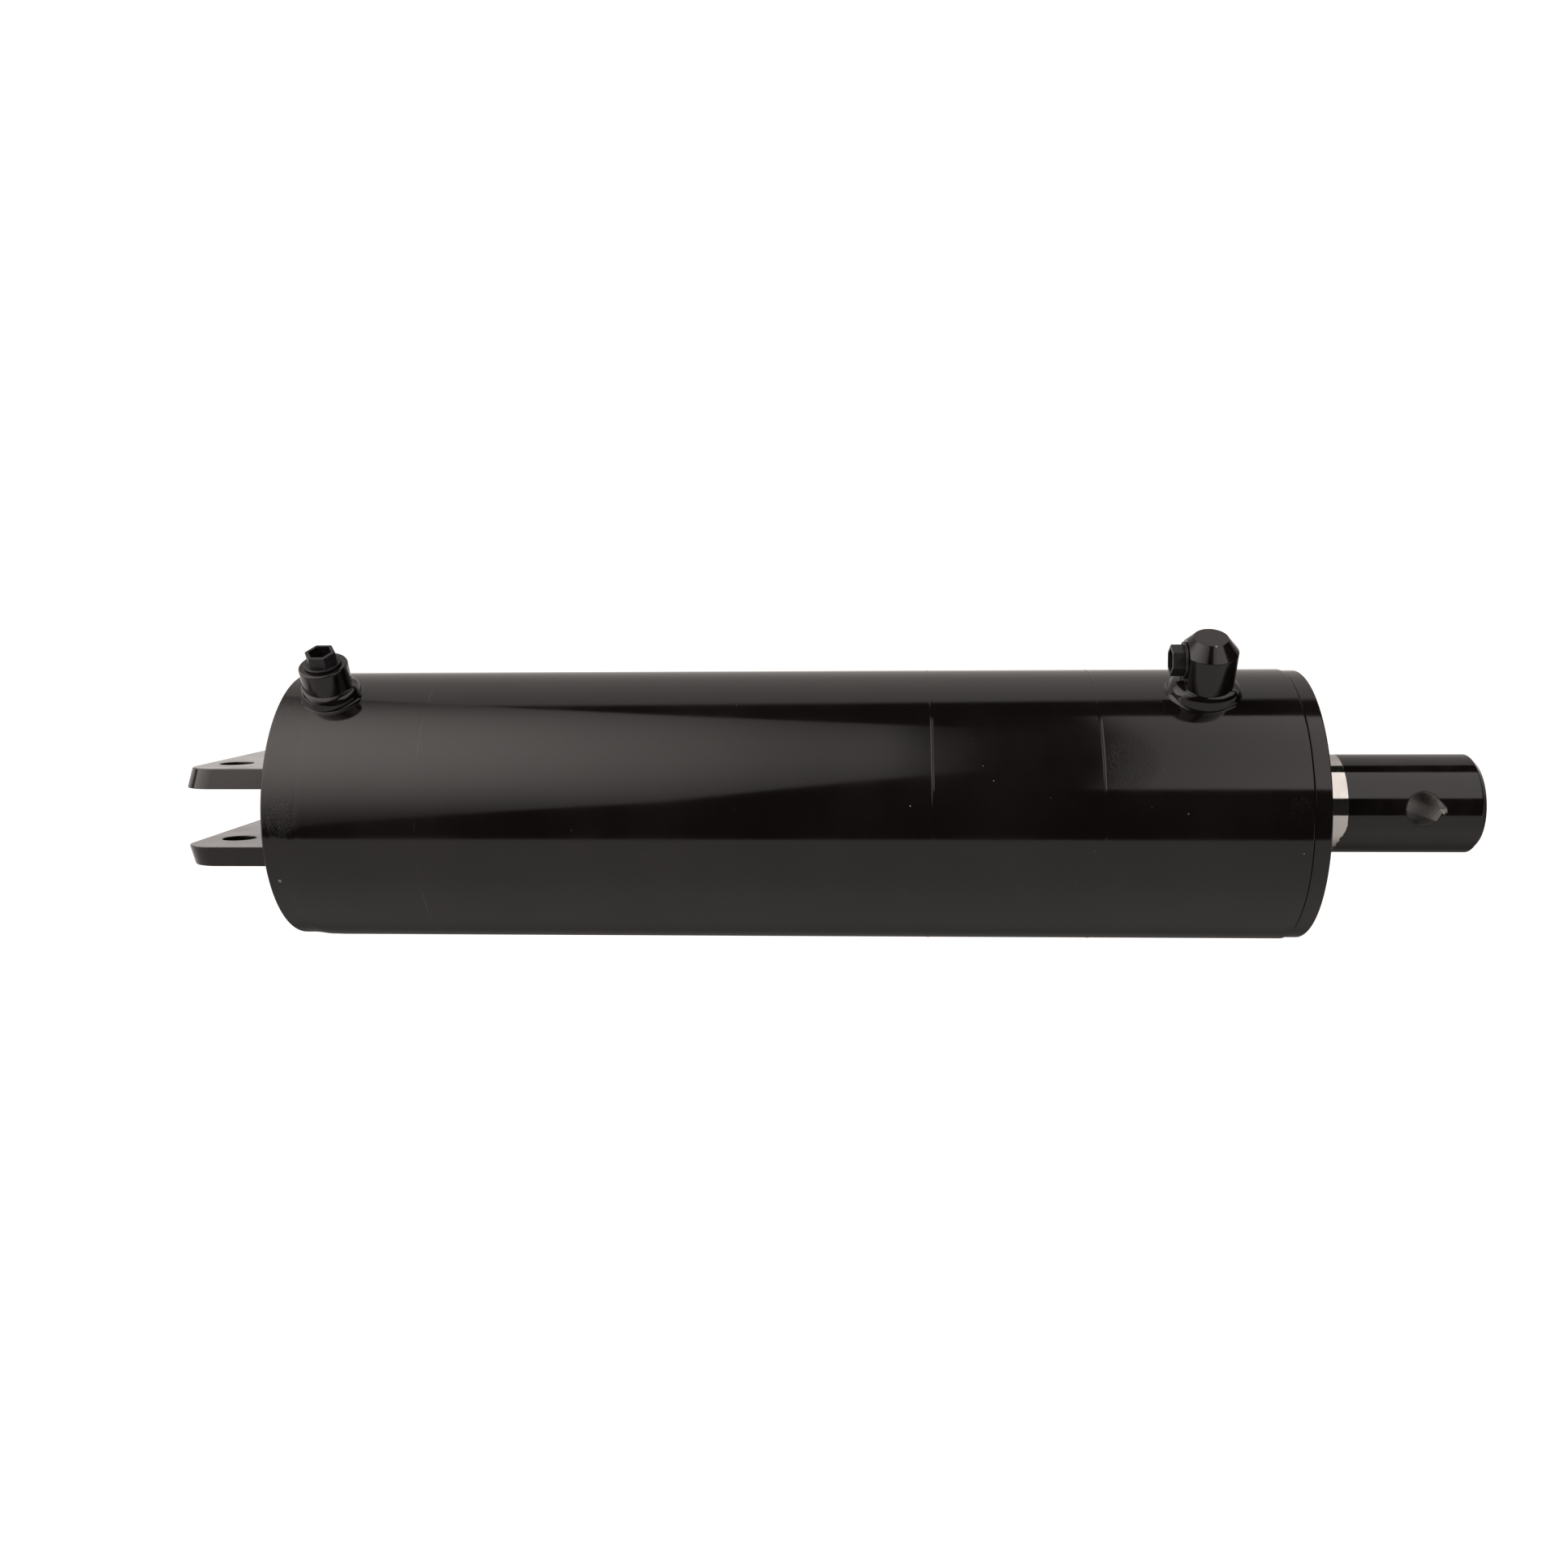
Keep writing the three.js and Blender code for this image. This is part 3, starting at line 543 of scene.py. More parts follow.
def primer_colour(s):
    """Blotched grey primer in the cross hole, turned to dusty black on the lower part of its wall, below a
    slanted line.
    """
    primer = s.blend(s.fit(s.grain(1.6 * MM, 4.0), 0.35, 0.7), GREY_PRIMER, PALE_PRIMER)
    slope = 0.2
    level = s.maths("ADD", s.z, s.maths("MULTIPLY", s.x, slope))
    edge = PIN_HOLE.x * slope - 5 * MM
    return s.blend(s.fit(level, edge, edge + 0.6 * MM, 0.8, 0.0), primer, PAINT_DUSTY)


def rod_surface():
    """Hard chrome, with gloss black sprayed over the outer end and a primed cross hole."""
    s = Surface("rod_chrome_and_paint", ior=PAINT_IOR)
    painted = rod_paint_mask(s)
    inside, rim = pin_hole_masks(s)
    s.bump(s.grain(0.12 * MM, 1.0, stretch=(1, 40, 40)), 4e-8)
    s.bump(s.maths("MULTIPLY", painted, s.grain(7 * MM, 1.0, offset=4.0)), 5e-6)
    s.bump(painted, 4e-5)
    s.bump(s.maths("MULTIPLY", inside, s.grain(0.9 * MM, 4.0)), 9e-5)

    smudge = s.fit(s.grain(14 * MM, 4.0), 0.3, 0.75)
    chrome = s.blend(smudge, CHROME, CHROME_SMUDGED)
    paint = s.blend(smudge, PAINT_BLACK, PAINT_DUSTY)
    colour = s.blend(inside, s.blend(painted, chrome, paint), primer_colour(s))
    roughness = s.lerp(painted, s.lerp(smudge, 0.05, 0.11), s.lerp(smudge, 0.08, 0.13))
    s.put(s.shader.inputs["Metallic"], s.maths("SUBTRACT", 1.0, painted))
    return s.done(colour, s.lerp(s.maths("MAXIMUM", inside, rim), roughness, 0.55))


def moulded_plastic():
    """Matt black moulded plastic with a fine spark-eroded grain and random patches of a worn tone."""
    s = Surface("moulded_plastic", ior=1.48)
    s.bump(s.grain(0.35 * MM, 3.0), 1.6e-5)
    s.bump(s.grain(2.5 * MM, 2.0, offset=2.0), 2.5e-5)
    worn = s.fit(s.grain(5 * MM, 3.0), 0.35, 0.7)
    colour = s.blend(worn, PLASTIC_BLACK, PLASTIC_WORN)
    return s.done(colour, s.lerp(worn, 0.36, 0.5))


def metal(name, colour, worn, roughness, grain_size, relief):
    """Bare metal whose tone, gloss and relief all vary with one grain."""
    s = Surface(name, metallic=1.0)
    patches = s.fit(s.grain(grain_size * 8, 4.0), 0.3, 0.7)
    s.bump(s.grain(grain_size, 3.0, stretch=(1, 6, 6)), relief)
    return s.done(s.blend(patches, colour, worn), s.lerp(patches, roughness, roughness * 1.5))


def soft_ring(name, colour, worn, roughness, ior=1.5):
    """Rubber or plastic for a seal, with a fine moulded skin."""
    s = Surface(name, ior=ior)
    patches = s.fit(s.grain(4 * MM, 3.0), 0.3, 0.7)
    s.bump(s.grain(0.3 * MM, 3.0), 6e-6)
    return s.done(s.blend(patches, colour, worn), s.lerp(patches, roughness, roughness * 1.3))


# ---------------------------------------------------------------- barrel and base


def draw_ring(x):
    """The outline points of a low ring that stands proud of the tube."""
    points = []
    for step in range(-4, 5):
        t = step / 4
        points.append((x + t * DRAW_RING_HALF_WIDTH, TUBE_R + DRAW_RING_HEIGHT * (1 - t * t) ** 2, 0))
    return points


# The tube has a ring this far from a port's middle, so that the faces that its hole cuts stay short.
PORT_FENCE = PORT_R + 3 * MM


def cut_waterway(obj, x):
    """Drills a port's hole through the tube's wall."""
    drill = bar("drill", BORE_R - CUT_PAST, TUBE_R + CUT_PAST, WATERWAY_R, port_place(x))
    return combine(obj, drill, "DIFFERENCE")


def barrel_tube(paint):
    """The tube, with its bevelled base end, two low drawing rings and a chamfered gland end."""
    points = [
        (TUBE_START, BORE_R, 0),
        (TUBE_START, TUBE_R - JOINT_ROOT_DEPTH, 0),
        (WELD_END, TUBE_R - DRESSED_EDGE, 0),
        (WELD_END + DRESSED_RUN_OUT, TUBE_R, 0),
        (BASE_PORT_X + PORT_FENCE, TUBE_R, 0),
        *(point for x in DRAW_RINGS for point in draw_ring(x)),
        (ROD_PORT_X - PORT_FENCE, TUBE_R, 0),
        (ROD_PORT_X + PORT_FENCE, TUBE_R, 0),
        (TUBE_END, TUBE_R, 0.7 * MM),
        (TUBE_END, BORE_R, 0),
    ]
    tube = lathe("tube", points)
    for x in (BASE_PORT_X, ROD_PORT_X):
        cut_waterway(tube, x)
    return finish_piece(tube, "barrel_tube", paint)


def set_off_centre(obj, share):
    """Moves a turned piece's rim out towards the upper front, where the cap was tacked nearly flush.

    share is a function of X: how much of the cap's offset a vertex gets there."""
    for vertex in obj.data.vertices:
        spoke = Vector((0, vertex.co.y, vertex.co.z))
        if spoke.length > CAP_R - MM:
            spoke.normalize()
            facing = spoke.dot(Vector((0, -1, 1)).normalized())
            vertex.co += spoke * CAP_OFFSET * (1 + facing) * share(vertex.co.x)
    return obj


def weld_rise(x):
    """How far the dressed weld has come up from the cap's radius to the tube's, from 0 to 1."""
    t = min(max((x - CAP_START - WELD_RISE[0]) / (WELD_RISE[1] - WELD_RISE[0]), 0), 1)
    return t * t * (3 - 2 * t)


def base_cap(paint):
    """The round cap that closes the base, its outer edge broken."""
    root = WELD_START + CAP_SPIGOT_TAPER
    points = [
        (CAP_START, 0, 0),
        (CAP_START, CAP_R, 1.1 * MM),
        (WELD_START - GAP, CAP_R, 0),
        (root, BORE_R - GAP, 0),
        (CAP_END, BORE_R - GAP, 0.8 * MM),
        (CAP_END, 0, 0),
    ]
    cap = set_off_centre(lathe("cap", points), lambda x: 1)
    return finish_piece(cap, "base_cap", paint)


def base_weld(paint):
    """The dressed joint between cap and tube: nearly flush, but never quite round."""
    crown = []
    steps = 22
    for step in range(steps + 1):
        x = WELD_START - GAP + (WELD_END + GAP - WELD_START) * step / steps
        crown.append((x, CAP_R + (TUBE_R - DRESSED_EDGE - CAP_R) * weld_rise(x), 0))
    middle = (WELD_START + WELD_END) / 2
    root_r = TUBE_R - JOINT_ROOT_DEPTH
    points = [(middle - MM, root_r, 0), *crown, (middle + MM, root_r, 0)]
    weld = set_off_centre(lathe("cap_weld", points), lambda x: 1 - weld_rise(x))
    for vertex in weld.data.vertices:
        spoke = Vector((0, vertex.co.y, vertex.co.z))
        inside_edges = WELD_START < vertex.co.x < WELD_END and spoke.length > CAP_R - MM
        if inside_edges:
            unevenness = noise.fractal(vertex.co / (9 * MM), 1.0, 2.0, 3) * 0.05 * MM
            vertex.co += spoke.normalized() * unevenness
    return finish_piece(weld, "base_weld", paint)


# ---------------------------------------------------------------- clevis


def plate_outline(low, high, inset, z):
    """A clevis plate's outline at one height: square at the cap, rounded at the free end."""
    corner = PLATE_CORNER_R
    end = low.x + inset
    side = high.y - inset
    points = [Vector((high.x, -side, z)), Vector((high.x, side, z))]
    for centre_y, start in ((side - corner, 90), (corner - side, 180)):
        for step in range(17):
            angle = math.radians(start + 90 * step / 16)
            x = end + corner + corner * math.cos(angle)
            points.append(Vector((x, centre_y + corner * math.sin(angle), z)))
    return points


def clevis_plate(level, sign, paint):
    """A plate with two bolt holes. Its flame-cut rim slopes in towards the outer face."""
    node = f"clevis_plate_{level}"
    low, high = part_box(node)
    inner_z, outer_z = (low.z, high.z) if sign > 0 else (high.z, low.z)
    rings = [plate_outline(low, high, 0, inner_z), plate_outline(low, high, PLATE_RIM_TAPER, outer_z)]
    plate = loft(f"{level}_plate", rings)
    for side in ("front", "back"):
        centre = opening(f"bolt_hole_{level}_{side}")
        place = frame_along(centre, Vector((0, 0, 1)), ALONG)
        through = high.z - low.z
        combine(plate, bar("drill", -through, through, BOLT_HOLE_R, place), "DIFFERENCE")
    bevel(plate, 0.55 * MM)
    return finish_piece(plate, node, paint)


def clevis_weld(level, sign, paint):
    """A rippled fillet bead in the corner between a plate's outer face and the cap."""
    node = f"clevis_weld_{level}"
    low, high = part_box(node)
    leg = high.x - low.x
    half_length = high.y
    corner_z = low.z if sign > 0 else high.z
    sections, steps = 120, 8
    rings = []
    for i in range(sections + 1):
        t = 2 * i / sections - 1
        taper = math.sqrt(max(1 - 0.94 * t**8, 0))
        ring = [Vector((high.x, half_length * t, corner_z))]
        for step in range(steps + 1):
            turn = math.pi / 2 * step / steps
            ripple = 1 - 0.05 + 0.05 * math.sin(70 * t + 2.2 * math.sin(turn * 2))
            bulge = 1 - 0.22 * math.sin(2 * turn) ** 2
            size = leg * taper * (ripple * bulge if 0 < step < steps else 1)
            x = high.x - size * math.cos(turn)
            ring.append(Vector((x, half_length * t, corner_z + sign * size * math.sin(turn))))
        rings.append(ring)
    return finish_piece(loft(f"{level}_clevis_weld", rings), node, paint)


# ---------------------------------------------------------------- ports


def port_place(x):
    """A placement whose local X axis runs out of a port, from the cylinder's axis."""
    return frame_along(ALONG * x, PORT_OUT, ALONG)


MOUTH_PLACE = frame_along(Vector((ELBOW_MOUTH_X, 0, 0)) + PORT_OUT * MOUTH_HEIGHT, -ALONG, Vector((0, 0, 1)))
# The ports reach below the tube's top line, because its surface falls away at their sides.
FOOT = TUBE_R - 2.2 * MM


def base_port_boss(paint):
    """A turned port boss: a rounded rim, a threaded hole and the waterway below it."""
    floor = BOSS_TOP - PORT_THREAD_DEPTH
    points = [
        (FOOT, WATERWAY_R, 0),
        (FOOT, PORT_R, 0),
        (BOSS_TOP, PORT_R, 1.0 * MM),
        (BOSS_TOP, PORT_THREAD_R, 0.3 * MM),
        (floor, PORT_THREAD_R, 0),
        (floor, WATERWAY_R, 0),
    ]
    boss = lathe("port_boss", points, SMALL_SEGMENTS, port_place(BASE_PORT_X))
    return finish_piece(boss, "base_port_boss", paint)


def rod_port_elbow(paint):
    """The elbow: a coned bar that stands on the tube, milled flat for the mouth that faces the base."""
    outline = [
        (FOOT, 0, 0),
        (FOOT, ELBOW_R, 0),
        (ELBOW_TOP - ELBOW_CONE_HEIGHT, ELBOW_R, 0.5 * MM),
        (ELBOW_TOP, ELBOW_CONE_TOP_R, 0.35 * MM),
        (ELBOW_TOP, 0, 0),
    ]
    upright = port_place(ROD_PORT_X)
    elbow = lathe("port_elbow", outline, SMALL_SEGMENTS, upright)
    combine(elbow, bar("milled", 0, ELBOW_CUT_PAST, 2 * ELBOW_TOP, MOUTH_PLACE, 8), "DIFFERENCE")
    bevel(elbow, 0.4 * MM)
    thread = bar("thread", -PORT_THREAD_DEPTH, ELBOW_CUT_PAST, PORT_THREAD_R, MOUTH_PLACE)
    combine(elbow, thread, "DIFFERENCE")
    combine(elbow, bar("waterway", FOOT - MM, MOUTH_HEIGHT, WATERWAY_R, upright), "DIFFERENCE")
    return finish_piece(elbow, "rod_port_elbow", paint)


def gaussian(angle, centre, width):
    """A bump of height 1 on a circle, at an angle and of a width in degrees."""
    away = (math.degrees(angle) - centre + 180) % 360 - 180
    return math.exp(-((away / width) ** 2))


def bead_profile():
    """A bead's cross section, from its upper edge on the port (0, 1) to its toe on the tube (1, 0)."""
    upper = interpolate_bezier((0, 1.0, 0), (0, 0.84, 0), (0.34, 0.93, 0), (0.6, 0.6, 0), 9)
    lower = interpolate_bezier((0.6, 0.6, 0), (0.8, 0.34, 0), (0.8, 0.03, 0), (1, 0, 0), 9)
    return [(p.x, p.y) for p in upper + lower[1:]]


def port_weld(name, node, x, inner, toe, height, lumps, paint):
    """A painted fillet bead round a port, lying on the tube. It wanders a little and has lumps.

    inner, toe and height are functions of the angle, which runs from +X towards the front.
    Each lump is its angle, its width in degrees and how far it stands out."""
    sections = 216
    profile = bead_profile()
    rings = []
    for i in range(sections):
        angle = 2 * math.pi * i / sections
        lump = sum(size * gaussian(angle, centre, width) for centre, width, size in lumps)
        wander = noise.noise(Vector((math.cos(angle), math.sin(angle), x)) * 2.3) * 0.4 * MM
        inner_r = inner(angle) - 0.2 * MM
        toe_r = toe(angle) + wander + 0.7 * lump
        top = height(angle) + wander
        ring = [(inner_r, -0.6 * MM)]
        for out, up in profile:
            belly = math.sin(math.pi * out)
            ring.append((inner_r + (toe_r - inner_r) * out, top * up + lump * belly))
        ring.append((toe_r, -0.6 * MM))
        points = []
        for radius, lift in ring:
            across = radius * math.sin(angle)
            surface = math.sqrt(TUBE_R**2 - across**2)
            along = ALONG * (x + radius * math.cos(angle))
            points.append(along + PORT_OUT * (surface + lift) + PORT_SIDE * across)
        rings.append(points)
    return finish_piece(loft(name, rings, wrap=True), node, paint)


def base_port_weld(paint):
    return port_weld(
        "boss_weld",
        "base_port_weld",
        BASE_PORT_X,
        lambda angle: PORT_R,
        lambda angle: (15.5 + 1.2 * math.cos(angle)) * MM,
        lambda angle: (7.0 - 0.9 * math.cos(angle)) * MM,
        ((8, 14, 0.9 * MM), (-28, 10, 0.35 * MM), (150, 12, 0.3 * MM)),
        paint,
    )


def rod_port_weld(paint):
    return port_weld(
        "elbow_weld",
        "rod_port_weld",
        ROD_PORT_X,
        lambda angle: min(ELBOW_R, (ROD_PORT_X - ELBOW_MOUTH_X) / max(-math.cos(angle), 0.1)),
        lambda angle: (16.6 + 2.4 * math.cos(angle) ** 2) * MM,
        lambda angle: (6.6 - 0.8 * math.cos(angle) + 0.6 * math.sin(angle)) * MM,
        ((35, 9, 0.8 * MM), (182, 30, 0.9 * MM)),
        paint,
    )


def port_plug(name, node, seat, plastic):
    """A moulded screw plug: a shank, a round flange and a hollow hexagon. seat is the port's face."""
    flange_top = GAP + PLUG_FLANGE_T
    top = flange_top + PLUG_HEX_HEIGHT
    turned = [
        (-PLUG_SHANK_LENGTH, 0, 0),
        (-PLUG_SHANK_LENGTH, PORT_THREAD_R - GAP, 0.6 * MM),
        (GAP, PORT_THREAD_R - GAP, 0),
        (GAP, PLUG_FLANGE_R, 0.25 * MM),
        (flange_top, PLUG_FLANGE_R, 0.4 * MM),
        (flange_top, 0, 0),
    ]
    plug = lathe(name, turned, SMALL_SEGMENTS, seat)
    hexagon = bevel(prism("hexagon", GAP + 0.5 * MM, top, PLUG_HEX_R, 6, seat), 0.3 * MM)
    combine(plug, hexagon, "UNION")
    socket = prism("socket", top - PLUG_SOCKET_DEPTH, top + 5 * MM, PLUG_SOCKET_R, 6, seat)
    combine(plug, socket, "DIFFERENCE")
    return finish_piece(plug, node, plastic)


def base_port_plug(plastic):
    seat = port_place(BASE_PORT_X) @ Matrix.Translation((BOSS_TOP, 0, 0))
    return port_plug("boss_plug", "base_port_plug", seat, plastic)


def rod_port_plug(plastic):
    return port_plug("elbow_plug", "rod_port_plug", MOUTH_PLACE, plastic)


# ---------------------------------------------------------------- gland, wiper and rod


def groove(nodes, floor_r, open_r):
    """The outline points of a groove that holds some rings, with a little room at their ends."""
    start = min(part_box(node)[0].x for node in nodes) - GAP
    end = max(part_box(node)[1].x for node in nodes) + GAP
    return [(start, open_r, 0), (start, floor_r, 0), (end, floor_r, 0), (end, open_r, 0)]


def gland_head(paint):
    """The screwed head: its flange, the land in the bore with its seal groove, and the rod's bore."""
    bore = inner_radius("gland_head")
    land = BORE_R - GAP
    nose_r = BORE_R - GLAND_NOSE_STEP
    land_start = ROD_PORT_X + WATERWAY_R + GLAND_LAND_FROM_WATERWAY
    flange_start = TUBE_END + GAP
    wiper_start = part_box("rod_wiper")[0].x - GAP
    wiper_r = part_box("rod_wiper")[1].z + GAP
    seal_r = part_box("rod_seal")[1].z + GAP
    band_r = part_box("rod_wear_ring")[1].z + GAP
    static_seal = groove(("gland_o_ring", "gland_backup_ring"), inner_radius("gland_backup_ring") - GAP, land)
    points = [
        (GLAND_START, nose_r, 1 * MM),
        (land_start, nose_r, 0),
        (land_start, land, 0.5 * MM),
        *static_seal,
        (flange_start, land, 0),
        (flange_start, FLANGE_R, 0.45 * MM),
        (GLAND_FACE, FLANGE_R, 1.0 * MM),
        (GLAND_FACE, wiper_r, 0.3 * MM),
        (wiper_start, wiper_r, 0),
        (wiper_start, bore, 0),
        *reversed(groove(("rod_seal",), seal_r, bore)),
        *reversed(groove(("rod_wear_ring",), band_r, bore)),
        (GLAND_START, bore, 0),
    ]
    head = lathe("gland", points)
    for i in range(1, 5):
        centre = opening(f"spanner_hole_{i}")
        place = frame_along(Vector((GLAND_FACE, centre.y, centre.z)), ALONG, Vector((0, 1, 0)))
        drill = [
            (-SPANNER_HOLE_DEPTH - DRILL_POINT, 0, 0),
            (-SPANNER_HOLE_DEPTH, SPANNER_HOLE_R, 0),
            (CUT_PAST, SPANNER_HOLE_R, 0),
            (CUT_PAST, 0, 0),
        ]
        combine(head, lathe("drill", drill, SMALL_SEGMENTS, place), "DIFFERENCE")
    return finish_piece(head, "gland_head", paint)


def rod_wiper(rubber):
    """The wiper: a ring in the gland's face with a lip that leans out over the rod."""
    start, end, outer = reach("rod_wiper")
    lip = inner_radius("rod_wiper")
    face = GLAND_FACE - 0.6 * MM
    points = [
        (start, lip + 1.6 * MM, 0.3 * MM),
        (start, outer, 0.3 * MM),
        (face, outer, 0.8 * MM),
        (face, outer - 2 * MM, 0.5 * MM),
        (end, lip + 0.9 * MM, 0.3 * MM),
        (end, lip, 0.15 * MM),
        (face - 2 * MM, lip + 1.6 * MM, 0.5 * MM),
    ]
    return finish_piece(lathe("wiper", points), "rod_wiper", rubber)


def pin_hole_nick():
    """The cutter for the tear at the cross hole's front rim: a ramp that runs out to a point."""
    tip = PIN_HOLE_R + PIN_HOLE_NICK_LENGTH
    touch_x = PIN_HOLE_R**2 / tip
    touch_z = math.sqrt(PIN_HOLE_R**2 - touch_x**2)
    slope = PIN_HOLE_NICK_LENGTH / PIN_HOLE_NICK_DEPTH
    rings = []
    for depth in (PIN_HOLE_NICK_DEPTH, -CUT_PAST):
        end = tip - slope * depth
        corners = ((touch_x, touch_z), (end, 0), (touch_x, -touch_z))
        rings.append([Vector((PIN_HOLE.x + x, depth - ROD_R, z)) for x, z in corners])
    return loft("nick", rings)


def piston_rod(surface):
    """The rod: threaded spigot, pilot, ground bar, chamfered end and a burred cross hole."""
    nut_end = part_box("piston_nut")[1].x
    piston_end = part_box("piston")[1].x
    thread_r = inner_radius("piston_nut") - GAP
    pilot_r = inner_radius("piston") - GAP
    points = [
        (ROD_START, 0, 0),
        (ROD_START, thread_r, 1.2 * MM),
        (nut_end, thread_r, 0),
        (nut_end + GAP, pilot_r, 0),
        (piston_end + GAP, pilot_r, 0),
        (piston_end + GAP, ROD_R, 0.8 * MM),
        (ROD_END - ROD_END_CHAMFER, ROD_R, 1.2 * MM),
        (ROD_END, ROD_R - ROD_END_CHAMFER, 0.7 * MM),
        (ROD_END, 0, 0),
    ]
    rod = lathe("rod", points)
    through = ROD_R + CUT_PAST
    place = frame_along(Vector((PIN_HOLE.x, 0, 0)), Vector((0, -1, 0)), ALONG)
    combine(rod, bar("drill", -through, through, PIN_HOLE_R, place), "DIFFERENCE")
    combine(rod, pin_hole_nick(), "DIFFERENCE")
    return finish_piece(rod, "piston_rod", surface)


# ---------------------------------------------------------------- stage, light and camera


WARM_WHITE = (1.0, 0.935, 0.90, 1)
SOFTBOX_LEAN = Vector((0, 0.743, 0.669))
TABLE_TOP = -0.18
TABLE_FRONT, TABLE_BACK = -0.46, 3.5
TABLE_LEFT, TABLE_RIGHT = -1.5, 3.8


def emission(name, strength):
    """A light's material. strength is a function from a Surface to a socket."""
    s = Surface(name)
    s.tree.nodes.remove(s.shader)
    glow = s.node("ShaderNodeEmission", {"Color": WARM_WHITE, "Strength": strength(s)})
    s.tree.links.new(glow.outputs[0], s.tree.nodes["Material Output"].inputs["Surface"])
    return s.material


def softbox(name, left, right, outline, strength):
    """A softbox between the middles of its two ends. Its outline is in metres from its middle."""
    axis_x = (right - left).normalized()
    axis_y = (SOFTBOX_LEAN - axis_x * SOFTBOX_LEAN.dot(axis_x)).normalized()
    bm = bmesh.new()
    bm.faces.new([bm.verts.new((u, v, 0)) for u, v in outline])
    obj = mesh_object(name, bm)
    turn = Matrix((axis_x, axis_y, axis_x.cross(axis_y))).transposed().to_4x4()
    obj.matrix_world = Matrix.Translation((left + right) / 2) @ turn
    obj.data.materials.append(emission(f"{name}_glow", strength))
    obj.visible_camera = False


def left_glow(s):
    """Brightest at the softbox's left end, and along its middle, where the beam is tightest on the left."""
    beam_width = s.fit(s.x, -0.5, 0.3, 0.42, 0.82)
    off_middle = s.maths("DIVIDE", s.maths("SUBTRACT", s.y, 0.02), beam_width)
    beam = s.maths("EXPONENT", s.maths("MULTIPLY", s.maths("MULTIPLY", off_middle, off_middle), -1.0))
    along = s.maths("MULTIPLY", s.fit(s.x, -0.45, 0.5, 2.5, 1.0), s.fit(s.x, 0.55, 0.72, 1.0, 0.28))
    return s.maths("MULTIPLY", along, beam)


def right_glow(s):
    """Fades in from the softbox's left edge."""
    return s.maths("MULTIPLY", s.fit(s.x, -0.58, -0.52, 0.2, 1.0), s.fit(s.x, -0.55, -0.25, 1.0, 1.45))


def softboxes():
    """Two softboxes above the front: a long one that starts at the left, and a plain one to the right."""
    softbox(
        "softbox_left",
        Vector((-0.40, -0.08, 0.09)),
        Vector((0.477, -0.97, 1.08)),
        ((-0.8, -0.62), (0.07, -0.72), (0.8, -0.39), (0.8, 0.65), (-0.8, 0.65)),
        left_glow,
    )
    softbox(
        "softbox_right",
        Vector((0.6, -0.62, 0.78)),
        Vector((1.75, -0.62, 0.78)),
        ((-0.58, -0.635), (0.58, -0.635), (0.58, 0.635), (-0.58, 0.635)),
        right_glow,
    )


def table_glow(s):
    """White to the camera. Reflections see a painted shadow of the cylinder on the table, falling off behind
    the cylinder but not at its left.
    """
    # Painted shadow: the cylinder's shadow on the table, darkest behind it, seen only in reflections.
    under = s.fit(s.y, -0.11, 0.10, 0.6, 0.12)
    at_left = s.fit(s.x, -0.5, -0.1, 0.9, 0.0)
    return s.maths("MAXIMUM", s.maths("MAXIMUM", under, at_left), s.seen_white())


def light_table():
    """The pale table under the cylinder, lit from inside so that the camera sees no shadow on it. Its glow
    holds a painted shadow that only reflections see.
    """
    bm = bmesh.new()
    near = [(TABLE_LEFT, TABLE_FRONT), (TABLE_RIGHT, TABLE_FRONT)]
    far = [(TABLE_RIGHT, TABLE_BACK), (TABLE_LEFT, TABLE_BACK)]
    bm.faces.new([bm.verts.new((x, y, TABLE_TOP)) for x, y in near + far])
    obj = mesh_object("table", bm)
    obj.data.materials.append(emission("table_glow", table_glow))


def studio_world():
    """A white backdrop. Reflections see it brightest at the horizon behind, and dark in front."""
    world = bpy.data.worlds.new("studio")
    bpy.context.scene.world = world
    world.use_nodes = True
    background = world.node_tree.nodes["Background"]
    s = Nodes(world.node_tree, "Generated")

    left_gap = s.fit(s.x, -0.9, -0.55, 0.2, 0.0)
    edge = s.maths("ADD", s.maths("MULTIPLY", s.x, 0.2), left_gap)
    behind = s.fit(s.maths("SUBTRACT", s.y, edge), 0.16, 0.24, 0.02, 1.0)
    far_right = s.fit(s.x, 0.45, 0.9, 1.0, 0.35)
    horizon = s.fit(s.z, 0.1, 0.28, 0.92, 0.53)
    overhead = s.fit(s.z, 0.6, 0.95, 0.0, 0.14)
    lit = s.maths("MULTIPLY", s.maths("MULTIPLY", behind, far_right), s.maths("ADD", horizon, overhead))
    s.put(background.inputs["Strength"], s.maths("MAXIMUM", lit, s.seen_white()))
    background.inputs["Color"].default_value = WARM_WHITE


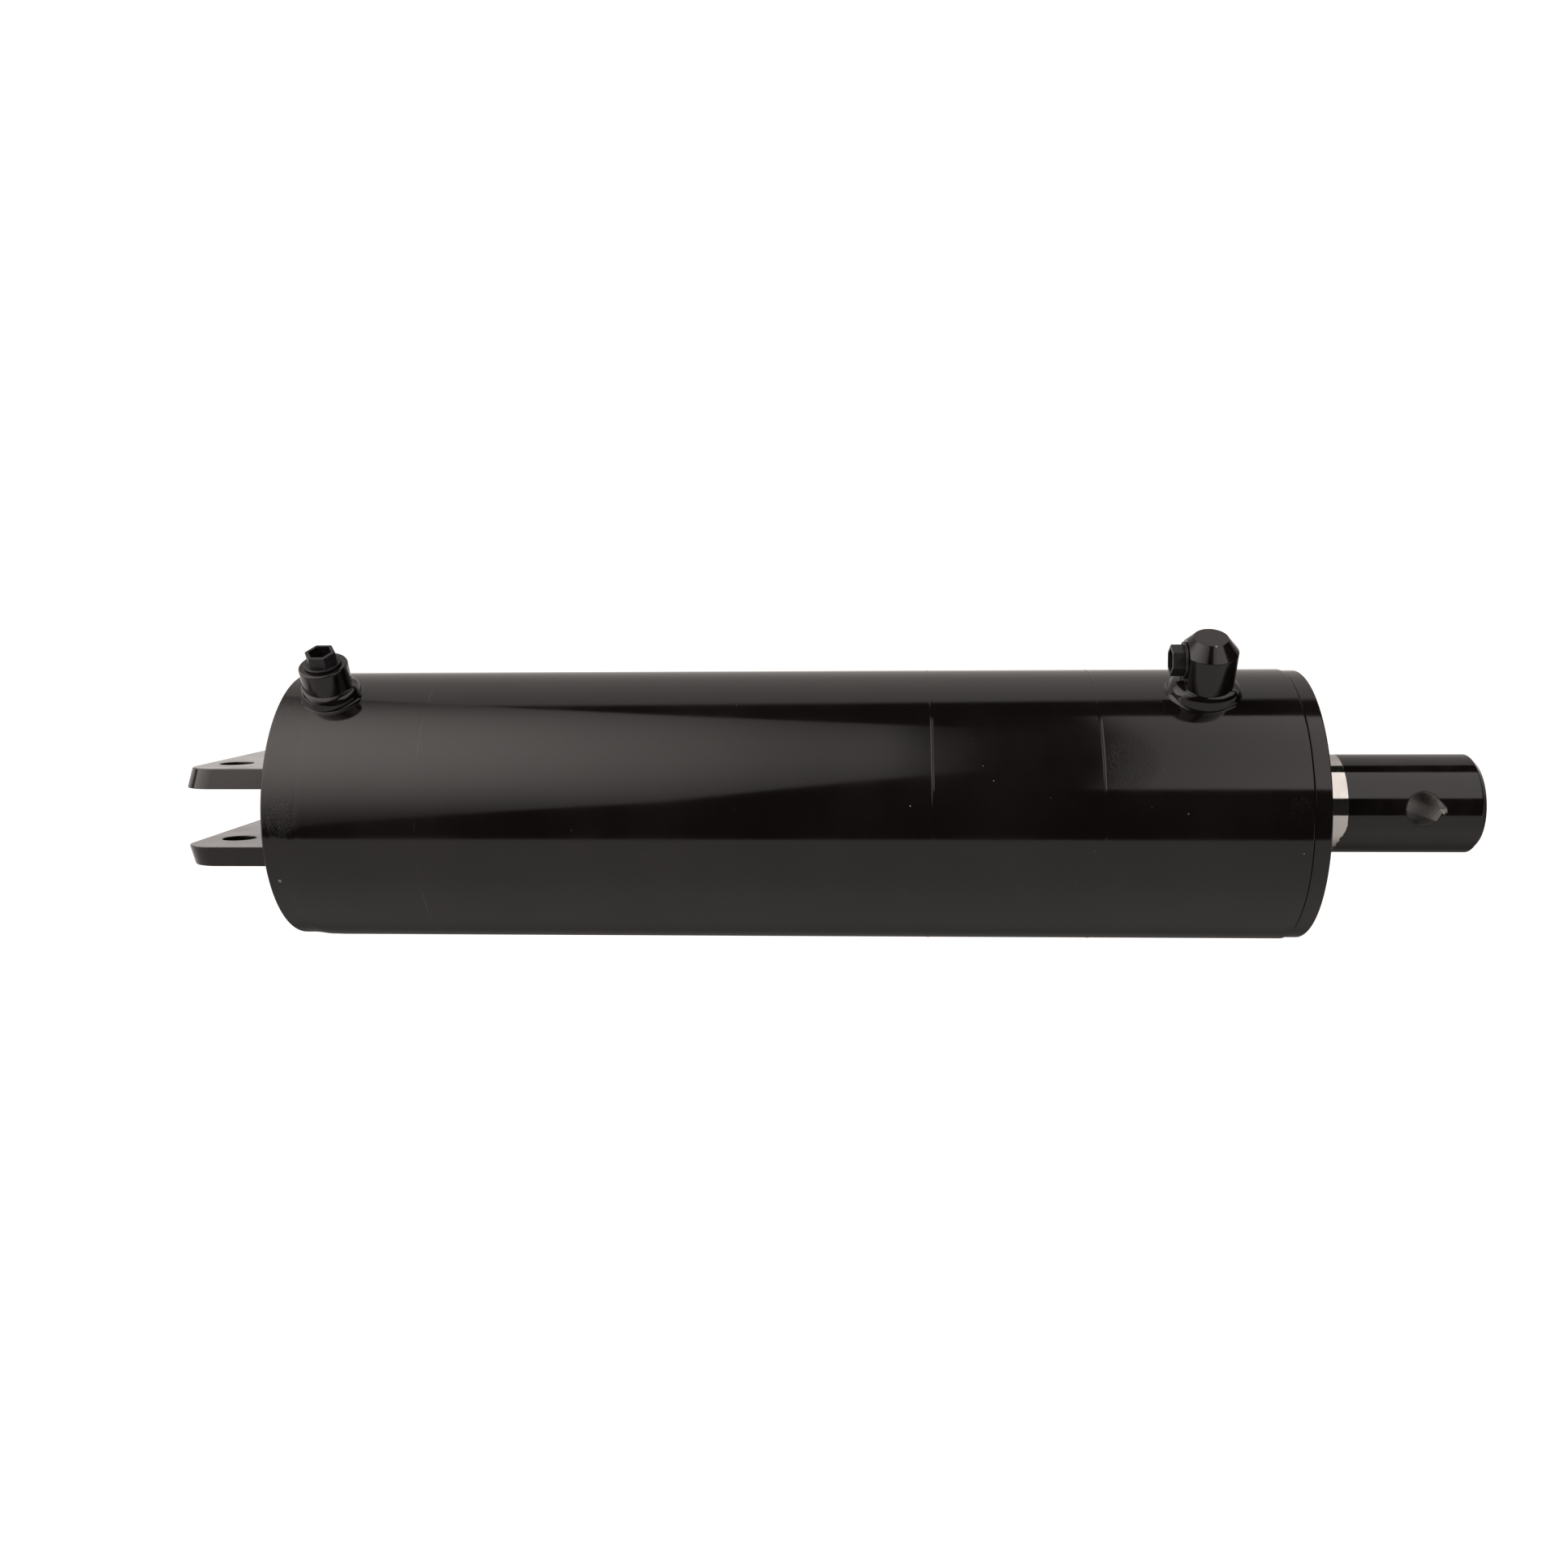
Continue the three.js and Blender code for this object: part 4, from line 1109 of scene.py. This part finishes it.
def camera():
    """The camera: a little above the cylinder and in front of its middle, turned and tipped slightly."""
    data = bpy.data.cameras.new("camera")
    data.sensor_width = 36
    data.lens = 34.02
    data.shift_x = -0.0016
    data.shift_y = -0.0350
    obj = bpy.data.objects.new("camera", data)
    bpy.context.scene.collection.objects.link(obj)
    middle = (CAD_BOX[0] + CAD_BOX[1]) / 2
    pitch, turn, roll = math.radians(-4.38), math.radians(2.98), math.radians(-0.36)
    rotation = Euler((math.pi / 2 + pitch, 0, turn)).to_matrix() @ Matrix.Rotation(roll, 3, "Z")
    obj.matrix_world = Matrix.Translation((middle.x + 0.0146, -0.7784, 0.0989)) @ rotation.to_4x4()
    bpy.context.scene.camera = obj


# ---------------------------------------------------------------- assembly


def dress_inner_nodes():
    """Materials for the CAD nodes inside the cylinder, which keep their own shapes."""
    steel = metal("machined_steel", (0.42, 0.42, 0.43, 1), (0.30, 0.30, 0.31, 1), 0.28, 0.4 * MM, 2e-6)
    iron = metal("machined_iron", (0.20, 0.20, 0.21, 1), (0.13, 0.13, 0.13, 1), 0.38, 0.5 * MM, 4e-6)
    rubber = soft_ring("nitrile_rubber", (0.011, 0.011, 0.011, 1), (0.02, 0.02, 0.02, 1), 0.5)
    urethane = soft_ring("polyurethane", (0.02, 0.09, 0.22, 1), (0.03, 0.12, 0.27, 1), 0.35)
    band = soft_ring("wear_band", (0.20, 0.075, 0.03, 1), (0.28, 0.11, 0.045, 1), 0.45)
    inner = {
        "gland_o_ring": rubber,
        "gland_backup_ring": band,
        "rod_wear_ring": band,
        "rod_seal": urethane,
        "piston": iron,
        "piston_o_ring": rubber,
        "piston_nut": steel,
        "piston_seal": urethane,
        "piston_wear_ring_rear": band,
        "piston_wear_ring_front": band,
    }
    for node, material in inner.items():
        frame["nodes"][node].material_slots[0].material = material


def build():
    tube_black = tube_paint()
    fitting_black = fitting_paint()
    plate_black = plate_paint()
    plastic = moulded_plastic()
    barrel_tube(tube_black)
    base_cap(tube_black)
    base_weld(tube_black)
    for level, sign in (("upper", 1), ("lower", -1)):
        clevis_plate(level, sign, plate_black)
        clevis_weld(level, sign, fitting_black)
    base_port_boss(fitting_black)
    base_port_weld(fitting_black)
    base_port_plug(plastic)
    rod_port_elbow(fitting_black)
    rod_port_weld(fitting_black)
    rod_port_plug(plastic)
    gland_head(tube_black)
    rod_wiper(soft_ring("wiper_rubber", (0.012, 0.012, 0.012, 1), (0.02, 0.02, 0.02, 1), 0.45))
    piston_rod(rod_surface())
    dress_inner_nodes()


build()
light_table()
studio_world()
softboxes()
camera()
bpy.context.scene.view_settings.view_transform = "Standard"
